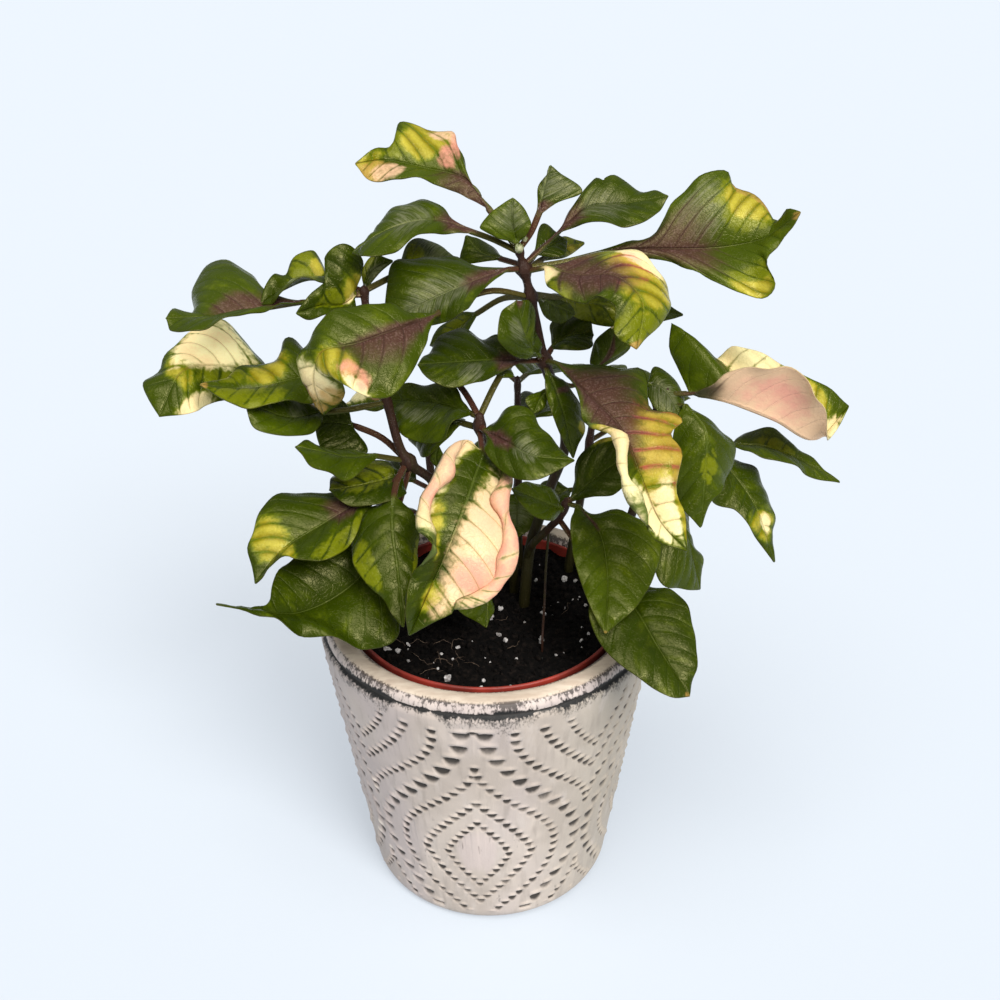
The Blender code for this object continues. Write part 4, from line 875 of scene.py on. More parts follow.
def leaf_green():
    """The blades' finish: deep glossy green, marbled with the tints of each leaf's marks."""
    flow = blank("joyweed_leaf")
    along, rib, edge = flow.fact("along"), flow.fact("rib"), flow.fact("edge")
    phase, under, tone = flow.fact("phase"), flow.fact("under"), flow.fact("tone")
    across = flow.fact("across")
    grain = flow.speckle(420, 4)
    patches = flow.speckle(75, 3)
    streaks = flow.node("ShaderNodeCombineXYZ", None,
                        {0: phase * 1.3 + tone * 9, 1: rib * 0.14 + tone * 5, 2: across * 0.7})
    sector = flow.speckle(1.0, 4, streaks, 0.6)

    # Where the veins run: side veins from the facts, finer ones from cells bent by noise
    place = flow.stretched()
    bent = flow.node("ShaderNodeTexNoise", None, {"Vector": place, "Scale": 260.0}, output=1)
    bent = flow.node("ShaderNodeVectorMath", {"operation": "SCALE"}, {0: bent, "Scale": 0.006})
    bent = flow.node("ShaderNodeVectorMath", {"operation": "ADD"}, {0: bent, 1: place})

    def web(scale, wide):
        """The net of the finest veins."""
        settings = {"feature": "DISTANCE_TO_EDGE"}
        cells = flow.node("ShaderNodeTexVoronoi", settings, {"Vector": bent, "Scale": scale})
        return 1 - cells.step(0.0, wide)

    turn = flow.maths("PINGPONG", phase, 0.5)
    blade = rib.step(0.3, 1.0) * edge.step(0.2, 1.5) * along.step(0.0, 0.05)
    vein = (1 - turn.step(0.006, 0.045)) * blade
    beside_vein = (1 - turn.step(0.0, 0.16)) * blade
    midrib = 1 - (rib / (1.15 - along * 0.6)).step(0.3, 0.75)
    beside_rib = 1 - rib.step(0.2, 2.6)
    net = web(650.0, 0.12)
    mesh = web(300.0, 0.20)
    speck = (sector - 0.5) * 1.5 + (patches - 0.5) * 1.0 + (grain - 0.5) * 0.6
    ragged = speck - beside_vein * 0.34 - mesh * 0.16 - beside_rib * 0.20

    # The green of the blade
    green = colour(flow, (0.010, 0.019, 0.000), patches * 0.9 + tone * 0.6 - 0.2, (0.044, 0.066, 0.001))
    green = green.blended(sector.step(0.48, 0.8) * 0.45, (0.088, 0.117, 0.002))
    green = green.blended(beside_vein * 0.15, (0.010, 0.024, 0.000))
    green = green.blended(vein * 0.16, (0.050, 0.078, 0.005))
    green = green.blended(midrib * 0.4, (0.078, 0.104, 0.015))

    # Silver down of young leaves, partly a painted sheen, then the tints, each laid over the one before
    fine = flow.node("ShaderNodeCombineXYZ", None, {0: phase * 15 + tone * 4, 1: rib * 0.16, 2: across * 2})
    fine = flow.speckle(1.0, 3, fine, 0.5)
    silver = (flow.fact("silver").least(0.6) + speck * 0.5 + (fine - 0.5) * 3.0).step(0.0, 1.3)
    dust = flow.speckle(1500, 3).step(0.50, 0.62)
    veined_grey = colour(flow, (0.205, 0.205, 0.130), (vein + net * 0.4 + dust * 0.3).least(1.0),
                         (0.050, 0.056, 0.020))
    green = green.blended(silver * 0.62, veined_grey)
    halo = (flow.fact("yellow").most(flow.fact("cream")) + ragged).step(-0.95, 0.1)
    green = green.blended(halo * 0.8, (0.125, 0.155, 0.003))
    between = turn.step(0.02, 0.42) * 0.7 + patches * 1.2 + (grain - 0.5) * 0.6 - 0.62
    toning = {"yellow": between, "cream": patches.step(0.35, 0.65)}
    shown = {}
    tinted = green
    for name, (low, high, full, veiny, cover, *tones) in TINT_LOOKS.items():
        spots = (flow.fact(name).least(full) + ragged - beside_vein * veiny).step(low, high)
        if name == "rose":
            spots = spots * (beside_vein + 0.22).least(1.0)
        if name in toning:
            tones[0] = colour(flow, tones[0], toning[name], tones[1])
        tinted = tinted.blended(spots * cover, tones[0])
        shown[name] = spots
    yellow, cream, ochre, peach = (shown[name] for name in ("yellow", "cream", "orange", "peach"))
    blush = flow.fact("blush")
    pinker = (speck * 1.2 + flow.fact("pink") * 0.7 + 0.2).step(0.1, 1.3)
    tinted = tinted.blended(blush, colour(flow, (0.83, 0.54, 0.34), pinker, (0.80, 0.375, 0.28)))

    # Darker veins on the pale parts, purple felt, the stalk, the underside and the thin rim
    pale = (yellow + cream + ochre + peach).least(1.0) * (1 - blush)
    creamy = (cream + peach).least(1.0)
    veining = vein * 0.6 + beside_vein * 0.26 + net * 0.14 + midrib * 0.7
    tinted = tinted.blended(veining.least(0.85) * pale * (1 - creamy * 0.45), (0.125, 0.090, 0.012))
    purple = (flow.fact("purple") + speck * 0.7 + beside_vein * 0.35 + beside_rib * 0.35).step(-0.55, 0.95)
    hairy = (fine * 0.75 + dust * 0.3).step(0.42, 0.72)
    purple_tone = colour(flow, (0.060, 0.018, 0.020), hairy * 0.48, (0.190, 0.108, 0.102))
    purple_tone = purple_tone.blended((vein + midrib * 0.4 + net * 0.3).least(1.0), (0.040, 0.012, 0.015))
    tinted = tinted.blended(purple * 0.86, purple_tone)
    stalk = (0.04 - along).step(0.0, 0.09)
    greener = (patches + tone - 0.5).step(0.3, 0.7)
    stalk_brown = colour(flow, (0.060, 0.022, 0.014), greener, (0.055, 0.048, 0.010))
    tinted = tinted.blended(stalk * (1 - purple * 0.7), stalk_brown)
    beneath = tinted.blended((1 - pale) * (1 - blush) * 0.35, (0.140, 0.180, 0.060))
    tinted = tinted.blended(under, beneath)
    rim = 1 - edge.step(0.05, 0.45)
    tinted = tinted.blended(rim * (1 - pale * 0.5) * 0.5, (0.030, 0.028, 0.003))
    relief = grain * 0.10 + patches * 0.55 - vein * 0.15 - beside_vein * 0.12 - net * 0.08 - midrib * 0.3
    rough = 0.22 + grain * 0.10 + silver * 0.12 + purple * 0.16 + under * 0.20
    # Painted glow: marked parts of a blade glow in their own colour, as if light shone through them
    through = colour(flow, (0.0, 0.0, 0.0), flow.fact("painted_glow").step(0.0, 0.75) * 0.62, tinted)
    material = finish(tinted, rough, relief, 0.0005, Specular_IOR_Level=0.25, Emission_Strength=1.0,
                      Specular_Tint=(1.0, 0.93, 0.45, 1.0))
    shader = material.node_tree.nodes["Principled BSDF"]
    material.node_tree.links.new(through.socket, shader.inputs["Emission Color"])
    material.cycles.emission_sampling = "NONE"
    return material


def stem_bark():
    """Young joyweed stem: green at the foot of the plant, brown-purple above, finely streaked, and
    kept very dark, partly as painted shade from the leaves over it.
    """
    flow = blank("joyweed_stem")
    age = flow.fact("age")
    streak = flow.speckle(500, 3, (1, 1, 0.12))
    bark_and_shade = colour(flow, (0.028, 0.024, 0.005), (age + streak - 0.5).step(0.2, 0.7), (0.034, 0.013, 0.007))
    bark_and_shade = bark_and_shade.blended(streak.step(0.50, 0.75) * 0.6, (0.009, 0.005, 0.003))
    bark_and_shade = bark_and_shade.blended(flow.speckle(1300, 3).step(0.60, 0.70) * 0.25, (0.16, 0.12, 0.09))
    return finish(bark_and_shade, 0.55, streak + flow.speckle(1300, 3) * 0.4, 0.0006, Specular_IOR_Level=0.2)


def pale_hair():
    flow = blank("joyweed_hair")
    tone = flow.speckle(200, 2)
    hair = colour(flow, (0.55, 0.50, 0.46), tone, (0.75, 0.72, 0.66))
    return finish(hair, 0.5)


LEAF_FINISH = leaf_green()
STEM_FINISH = stem_bark()
HAIR_FINISH = pale_hair()


def hairs(name, leaves, route, seed):
    """Fine pale hairs on the stalks and on the young part of the stem."""
    dice = np.random.default_rng(seed)
    spots, turns, sizes = [], [], []

    def add(centre, ahead, radius):
        aside = unit(np.cross(ahead, dice.normal(size=3)))
        lean = unit(aside + ahead * dice.uniform(0.2, 1.4))
        spots.append((centre + aside * radius) * MM)
        turns.append(Vector(lean).to_track_quat("Z", "Y").to_matrix())
        sizes.append(np.array([HAIR_RADIUS, HAIR_RADIUS, dice.uniform(*HAIR_REACH)]) * MM)

    for shape in leaves:
        centre, _, _, along, _ = leaf_frame(shape)
        ahead = unit(np.gradient(centre, axis=0))
        on_stalk = np.flatnonzero(along < 0.10)
        for i in dice.choice(on_stalk, STALK_HAIRS):
            add(centre[i], ahead[i], 0.85)
    line = smooth_curve(route, np.linspace(0, 1, STEM_PLACES))
    ahead = unit(np.gradient(line, axis=0))
    for i in dice.integers(int(STEM_PLACES * STEM_BARE), STEM_PLACES - 1, STEM_HAIRS):
        add(line[i], ahead[i], 1.35)
    bpy.ops.mesh.primitive_cone_add(vertices=3, radius1=1, radius2=0.15, depth=2, location=(0, 0, 0))
    return scattered(name, spots, turns, sizes, seed)


def buds(name, places):
    """Tight flower buds: a core wrapped in small pointed bracts."""
    parts = []
    for n, (place, size) in enumerate(places):
        size = size * 0.8
        middle = Vector(place) * MM
        bpy.ops.mesh.primitive_uv_sphere_add(segments=16, ring_count=10, radius=size * 0.8 * MM,
                                             location=middle)
        parts.append(bpy.context.active_object)
        for i in range(BUD_BRACTS):
            turn = i * 2.4 + n
            tilt = 0.35 + 0.9 * (i / (BUD_BRACTS - 1))
            flat = math.sin(tilt)
            aside = Vector((math.cos(turn) * flat, math.sin(turn) * flat, math.cos(tilt)))
            lean = (aside * 0.6 + Vector((0, 0, 1))).to_track_quat("Z", "Y").to_euler()
            bpy.ops.mesh.primitive_cone_add(vertices=6, radius1=size * 0.34 * MM, radius2=0.0,
                                            end_fill_type="TRIFAN", depth=size * 1.1 * MM,
                                            location=middle + aside * size * 0.72 * MM, rotation=lean)
            parts.append(bpy.context.active_object)
    piece = joined(name, parts)
    bpy.ops.object.transform_apply(location=True, rotation=True, scale=True)
    bpy.ops.object.shade_smooth()
    return piece


def bud_scale():
    bract, tone = mottled("bud_bracts", (600, 3), (0.13, 0.16, 0.05), 0.35, 0.6, (0.34, 0.34, 0.20))
    return finish(bract, 0.6, tone, 0.0003)


def grown(name, seed, stem, leaves, marks):
    """One leafy stem of the plant: its stem and branches, all its leaves, and its hairs."""
    node = "leafy_stem_" + name
    tubes = [(stem["route"], stem["thick"]), *stem.get("branches", ())]
    line = np.vstack([smooth_curve(route, np.linspace(0, 1, 120)) for route, thick in tubes])
    shapes = {key: rooted(shape, line) for key, shape in leaves.items()}
    knots = [np.array(shape["stalk"][0]) for shape in shapes.values()]
    skins = []
    for i, (route, thick) in enumerate(tubes):
        sunk = 0.0 if i else STEM_SUNK
        skins.append(rolled("stem_%s_%d" % (name, i), *stem_skin(route, thick, knots, sunk)))
    stem_piece = joined(name + "_stem", skins)
    placed(stem_piece, STEM_FINISH, "joyweed_leaf", node)
    blades = []
    for i, (key, shape) in enumerate(shapes.items()):
        rings, facts = leaf_skin(shape, marks.get(key, {}), seed * 100 + i, BLUSHES.get(key, 0.0))
        blades.append(rolled("blade_" + key, rings, facts))
    leaves_piece = joined(name + "_leaves", blades)
    placed(leaves_piece, LEAF_FINISH, "joyweed_leaf", node)
    hair_piece = hairs(name + "_hairs", shapes.values(), stem["route"], seed)
    placed(hair_piece, HAIR_FINISH, "joyweed_leaf")


def upright(x, y, *rest):
    """A stem's route: out of its hole in the soil, then through the points that follow."""
    return [(x, y, 123), *rest]


CENTRE_STEM = {
    "route": upright(15, 4, (17, 5, 145), (24, 2, 173), (30, 3, 193), (28, 4, 207), (22, 3, 226),
                     (17, 1, 251), (13, 0, 268)),
    "thick": (2.3, 2.2, 2.0, 1.9, 1.7, 1.2),
    "branches": (
        ([(16, 5, 142), (18, 0, 151), (24, -6, 162), (29, -12, 173), (30, -12, 178)], (1.6, 1.7, 1.5, 1.2)),
        ([(24, -5, 161), (23, -6, 145), (22, -16, 132), (21, -26, 125), ROOTLET_END], (0.5, 0.5)),
    ),
    "buds": (((13, -3, 269), 2.2), ((11, 0, 271), 1.8), ((15, 1, 271), 1.8)),
}

CENTRE_LEAVES = {
    "top_left": leaf(
        [(13, 0, 267), (7, 4, 275)],
        [(2, 8, 281), (-4, 12, 288), (-18, 16, 291), (-32, 16, 294), (-41, 12, 294)],
        [(-4, 9, 283), (-12, 8, 287), (-26, 6, 291), (-36, 8, 289)],
        [(-4, 13, 288), (-7, 20, 296), (-9, 28, 301), (-19, 30, 300), (-27, 28, 304), (-30, 22, 298),
         (-36, 16, 297)]),
    "silver": leaf(
        [(15, 0, 261)],
        [(9, -3, 262), (-3, -10, 260), (-17, -16, 256), (-32, -16, 248)],
        [(1, -14, 259), (-6, -26, 255), (-15, -22, 250), (-25, -18, 247)],
        [(3, 0, 262), (-10, 2, 264), (-20, 0, 266), (-28, -4, 265), (-32, -12, 255)]),
    "upper_left": leaf(
        [(12, 0, 267), (4, 2, 271)],
        [(-3, 1, 274), (-13, 0, 278), (-21, -4, 279), (-31, -8, 277), (-41, -14, 272)],
        [(-10, -4, 275), (-19, -12, 277), (-28, -20, 274), (-35, -22, 273)],
        [(-10, 4, 278), (-15, 8, 281), (-22, 12, 282), (-28, 8, 280), (-34, 0, 276)]),
    "young_front": leaf(
        [(12, 0, 268)],
        [(12, -2, 271), (11, 0, 276), (11, 4, 284)],
        [(0, -4, 277), (3, 0, 280)],
        [(17, -2, 277), (16, 2, 280)]),
    "young_upright": leaf(
        [(14, 0, 268), (17, 2, 273)],
        [(20, 5, 279), (22, 11, 286), (24, 14, 292)],
        [(20, 10, 283), (22, 14, 289)],
        [(26, 6, 282), (34, 10, 284), (30, 12, 288)]),
    "top_right": leaf(
        [(16, 2, 263)],
        [(21, 4, 267), (30, 6, 275), (37, 10, 279), (49, 10, 280), (63, 8, 283)],
        [(29, 8, 274), (35, 14, 284), (40, 18, 287), (42, 18, 285), (46, 20, 287), (55, 16, 283),
         (60, 12, 283)],
        [(30, 3, 274), (37, 0, 277), (45, -4, 277), (53, -2, 277), (60, 4, 279)]),
    "far_right": leaf(
        [(16, 2, 261), (29, 4, 262)],
        [(40, 6, 264), (53, 8, 265), (69, 10, 264), (85, 12, 264), (98, 12, 267), (108, 8, 277)],
        [(51, 10, 267), (62, 14, 270), (67, 20, 278), (76, 24, 285), (86, 26, 286), (89, 24, 282),
         (97, 22, 277), (102, 18, 272), (105, 12, 277)],
        [(55, 6, 262), (66, 6, 261), (74, 0, 259), (88, -4, 253), (96, -6, 252), (99, -6, 256),
         (97, 0, 263), (101, 4, 268), (106, 6, 273)]),
    "drooping_right": leaf(
        [(16, 0, 260)],
        [(22, -4, 263), (33, -10, 262), (44, -14, 263), (52, -22, 258), (50, -34, 246)],
        [(32, 0, 264), (41, 4, 265), (52, 6, 266), (59, 0, 260), (64, -8, 255), (60, -20, 251)],
        [(22, -14, 260), (28, -20, 258), (34, -24, 258), (39, -26, 260), (43, -26, 258), (43, -32, 250)]),
    "behind_top": leaf(
        [(15, 4, 262)],
        [(19, 8, 264), (25, 14, 265), (30, 18, 265)],
        [(22, 20, 270)],
        [(28, 10, 262)]),
    "behind_yellow": leaf(
        [(16, 6, 260)],
        [(22, 14, 260), (29, 22, 261), (37, 30, 260)],
        [(30, 28, 263)],
        [(31, 22, 258)]),
    "behind_left": leaf(
        [(13, 4, 262)],
        [(7, 8, 262), (0, 12, 263), (-5, 18, 267)],
        [(-7, 12, 260)],
        [(4, 18, 263)]),
    "thin_stalked": leaf(
        [(16, 4, 251), (7, 12, 246)],
        [(-2, 16, 239), (-10, 18, 232), (-19, 16, 227)],
        [(-7, 10, 232), (-15, 10, 228)],
        [(-10, 22, 236), (-16, 22, 231)]),
    "middle_left": leaf(
        [(22, 3, 226)],
        [(13, -4, 229), (3, -10, 232), (-9, -16, 234), (-21, -22, 236)],
        [(6, -16, 230), (-1, -24, 230), (-12, -28, 231), (-19, -26, 234)],
        [(6, 4, 235), (1, 4, 234), (-4, 4, 238), (-13, -2, 238), (-18, -12, 237)]),
    "folded_up": leaf(
        [(22, 3, 226)],
        [(20, -2, 230), (15, -8, 240), (12, -6, 252)],
        [(10, -14, 236), (6, -18, 243), (6, -12, 248), (8, -8, 250)],
        [(20, -2, 236), (19, 0, 243), (16, -2, 250)]),
    "long_variegated": leaf(
        [(22, 2, 226)],
        [(26, -4, 228), (36, -22, 224), (46, -36, 218), (52, -48, 206), (58, -56, 194), (66, -62, 187)],
        [(34, -6, 228), (45, -6, 228), (55, -10, 227), (58, -24, 220), (67, -30, 218), (63, -36, 217),
         (65, -42, 212), (64, -48, 204), (66, -56, 193)],
        [(31, -16, 226), (33, -32, 223), (34, -36, 218), (42, -44, 218), (43, -50, 210), (47, -56, 201),
         (56, -62, 191)]),
    "round_dark": leaf(
        [(22, 4, 227)],
        [(25, 8, 229), (32, 12, 232), (40, 14, 231)],
        [(25, 18, 234), (34, 20, 236), (39, 18, 235)],
        [(28, 4, 230), (38, 6, 229)]),
    "short_upright": leaf(
        [(23, 4, 220), (33, 8, 214)],
        [(40, 8, 220), (45, 6, 227), (47, 8, 237)],
        [(40, 10, 230)],
        [(53, 8, 230)]),
    "hanging_dark": leaf(
        [(22, 3, 225)],
        [(23, 0, 223), (26, -4, 217), (29, -8, 208), (32, -10, 194)],
        [(29, 1, 218), (35, -1, 211), (36, -3, 203), (34, -7, 197)],
        [(22, -5, 220), (24, -9, 212), (28, -11, 202)]),
    "small_green": leaf(
        [(24, 4, 214)],
        [(22, -1, 216), (20, -4, 214), (18, -8, 211)],
        [(22, -5, 212)],
        [(15, -6, 215)]),
    "behind_right": leaf(
        [(17, 2, 252)],
        [(28, 12, 246), (41, 20, 241), (58, 24, 237), (74, 28, 233)],
        [(43, 27, 243), (57, 31, 241), (66, 30, 238)],
        [(33, 15, 238), (43, 18, 233), (56, 18, 233), (67, 22, 233)]),
    "under_right": leaf(
        [(17, 2, 251)],
        [(20, 4, 249), (27, 9, 244), (33, 12, 240)],
        [(26, 13, 247), (31, 16, 244)],
        [(22, 5, 242), (28, 8, 238)]),
    "rolled_tip": leaf(
        [(15, 1, 250), (4, -4, 255), (-5, -8, 254)],
        [(-15, -24, 254), (-27, -36, 254), (-39, -42, 252), (-49, -46, 251), (-52, -46, 243),
         (-51, -40, 227)],
        [(-17, -36, 251), (-20, -46, 246), (-29, -54, 239), (-39, -56, 243), (-44, -52, 246),
         (-43, -44, 236)],
        [(-19, -26, 256), (-29, -28, 259), (-41, -32, 261), (-51, -36, 256), (-56, -40, 249),
         (-57, -40, 238)]),
    "small_dark": leaf(
        [(30, -12, 173)],
        [(28, -14, 175), (20, -18, 181), (10, -20, 187)],
        [(25, -20, 174), (18, -26, 179), (12, -26, 186)],
        [(25, -10, 181), (17, -12, 185)]),
    "dark_inner": leaf(
        [(30, -12, 177)],
        [(32, -12, 178), (40, -10, 185), (52, -8, 194)],
        [(34, -4, 187), (42, 0, 196), (49, -2, 198)],
        [(39, -16, 181), (46, -18, 183), (52, -14, 187)]),
    "heart": leaf(
        [(31, -12, 176)],
        [(34, -14, 176), (41, -24, 171), (43, -38, 164), (41, -60, 153)],
        [(39, -15, 173), (51, -18, 176), (61, -24, 172), (62, -34, 165), (54, -48, 158), (46, -56, 154)],
        [(31, -22, 174), (31, -32, 169), (34, -46, 162), (38, -56, 156)]),
    "over_rim": leaf(
        [(28, -12, 167), (38, -22, 158)],
        [(45, -34, 156), (53, -46, 152), (59, -58, 146), (69, -72, 135)],
        [(55, -34, 154), (66, -38, 156), (71, -46, 152), (73, -56, 147), (71, -66, 138)],
        [(41, -40, 157), (36, -50, 155), (41, -62, 147), (54, -72, 141), (63, -74, 136)]),
}

# Marks of each leaf: (across, along, half width, half length) of every spot of a tint
CENTRE_MARKS = {
    "top_left": {
        "yellow": [(-0.3, 0.92, 1.2, 0.12), (0.8, 0.5, 0.35, 0.13), (0.45, 0.55, 0.28, 0.12)],
        "peach": [(-0.6, 0.74, 0.4, 0.12), (0.85, 0.42, 0.22, 0.1)], "orange": [(-0.55, 0.84, 0.6, 0.16)],
        "lime": [(0.45, 0.72, 0.4, 0.12)], "pink": [(0.3, 0.38, 0.25, 0.07), (0.75, 0.33, 0.35, 0.07)],
        "purple": [(-0.55, 0.12, 0.8, 0.28)],
    },
    "silver": {"silver": [(-0.12, 0.58, 0.55, 0.34)], "purple": [(-0.15, 0.14, 0.55, 0.22)]},
    "upper_left": {"silver": [(0.0, 0.5, 0.8, 0.18)], "purple": [(0.0, 0.08, 1.0, 0.18)]},
    "young_front": {"silver": [(0.1, 0.62, 0.9, 0.42)]},
    "young_upright": {"silver": [(0.1, 0.6, 1.0, 0.42)], "purple": [(0.3, 0.08, 0.8, 0.16)]},
    "top_right": {"silver": [(0.1, 0.52, 0.75, 0.2)], "purple": [(0.05, 0.17, 0.9, 0.2)]},
    "far_right": {
        "lime": [(-0.62, 0.7, 0.42, 0.16), (0.78, 0.6, 0.3, 0.13)],
        "yellow": [(-0.68, 0.7, 0.26, 0.13), (0.86, 0.58, 0.14, 0.09)],
        "purple": [(0.05, 0.28, 0.8, 0.26)], "silver": [(-0.5, 0.48, 0.45, 0.14)],
        "orange": [(0.2, 1.0, 0.8, 0.05), (-0.97, 0.72, 0.1, 0.1)],
    },
    "drooping_right": {
        "yellow": [(-0.2, 0.66, 0.68, 0.14), (-0.42, 0.48, 0.36, 0.14), (-0.8, 0.6, 0.35, 0.16)],
        "cream": [(-0.8, 0.46, 0.26, 0.13), (0.6, 0.05, 0.6, 0.1)], "painted_glow": [(-0.7, 0.44, 0.5, 0.2)],
        "peach": [(-0.62, 0.44, 0.16, 0.05)], "rose": [(-0.45, 0.46, 0.3, 0.1), (-0.2, 0.54, 0.6, 0.07)],
        "lime": [(0.0, 0.82, 1.1, 0.16), (-0.8, 0.25, 0.3, 0.16), (0.85, 0.25, 0.3, 0.1)],
        "purple": [(0.22, 0.36, 0.66, 0.26), (-0.5, 0.16, 0.5, 0.12)], "orange": [(0.3, 0.99, 0.9, 0.04)],
    },
    "behind_yellow": {"lime": [(0.1, 0.8, 1.2, 0.45)], "yellow": [(0.45, 0.72, 0.7, 0.25)]},
    "thin_stalked": {"lime": [(0.1, 0.42, 0.6, 0.32)]},
    "middle_left": {"silver": [(-0.55, 0.52, 0.45, 0.12)], "purple": [(-0.35, 0.1, 0.7, 0.18)]},
    "folded_up": {"silver": [(-0.35, 0.62, 0.35, 0.18)], "purple": [(0.5, 0.98, 0.6, 0.1)]},
    "long_variegated": {
        "yellow": [(-0.65, 0.56, 0.48, 0.12), (-0.3, 0.72, 0.5, 0.1), (-0.95, 0.8, 0.3, 0.2),
                   (0.85, 0.5, 0.3, 0.1)],
        "cream": [(-0.4, 0.84, 0.4, 0.13), (0.35, 0.82, 0.52, 0.16), (0.88, 0.6, 0.2, 0.16)],
        "rose": [(-0.5, 0.54, 0.7, 0.16), (0.7, 0.62, 0.12, 0.12), (-0.85, 0.7, 0.2, 0.1)],
        "purple": [(0.05, 0.27, 0.75, 0.24)], "lime": [(0.0, 0.66, 0.35, 0.06)],
        "rolled": [(1, 0.6, 2.2, 0.28)],
    },
    "short_upright": {"purple": [(0.08, 0.45, 0.16, 0.35)], "cream": [(-0.6, 0.97, 0.5, 0.04)]},
    "hanging_dark": {"yellow": [(-0.88, 0.66, 0.28, 0.07)], "purple": [(-0.55, 0.26, 0.5, 0.04)]},
    "behind_right": {"lime": [(0.4, 0.22, 0.7, 0.32)]},
    "rolled_tip": {
        "cream": [(0.1, 0.8, 0.95, 0.12), (-0.85, 0.56, 0.25, 0.05)],
        "orange": [(0.3, 0.93, 0.9, 0.08), (-0.6, 0.86, 0.5, 0.06)],
        "purple": [(0.8, 0.86, 0.3, 0.05), (-0.22, 0.2, 0.45, 0.3)], "yellow": [(-0.4, 0.62, 0.6, 0.11)],
        "pink": [(-0.62, 0.54, 0.3, 0.06)],
    },
    "dark_inner": {"yellow": [(-0.95, 0.65, 0.12, 0.12)]},
    "heart": {"purple": [(0.0, 0.12, 0.1, 0.12)], "orange": [(0.0, 1.0, 1.2, 0.02)]},
    "over_rim": {"orange": [(0.2, 1.0, 0.8, 0.04)]},
}

grown("centre", 1, CENTRE_STEM, CENTRE_LEAVES, CENTRE_MARKS)

centre_buds = buds("centre_buds", CENTRE_STEM["buds"])
placed(centre_buds, bud_scale(), "joyweed_leaf")


# Left stem
# It leans out to the left and carries the cream leaf, the wavy ones at its top and the big green
# blades that hang over the rim.

LEFT_STEM = {
    "route": upright(0, 5, (-3, 0, 144), (-11, -8, 169), (-19, -14, 188), (-27, -18, 198),
                     (-33, -14, 219), (-38, -10, 244), (-39, -8, 258)),
    "thick": (2.2, 2.1, 1.9, 1.8, 1.6, 1.2),
}

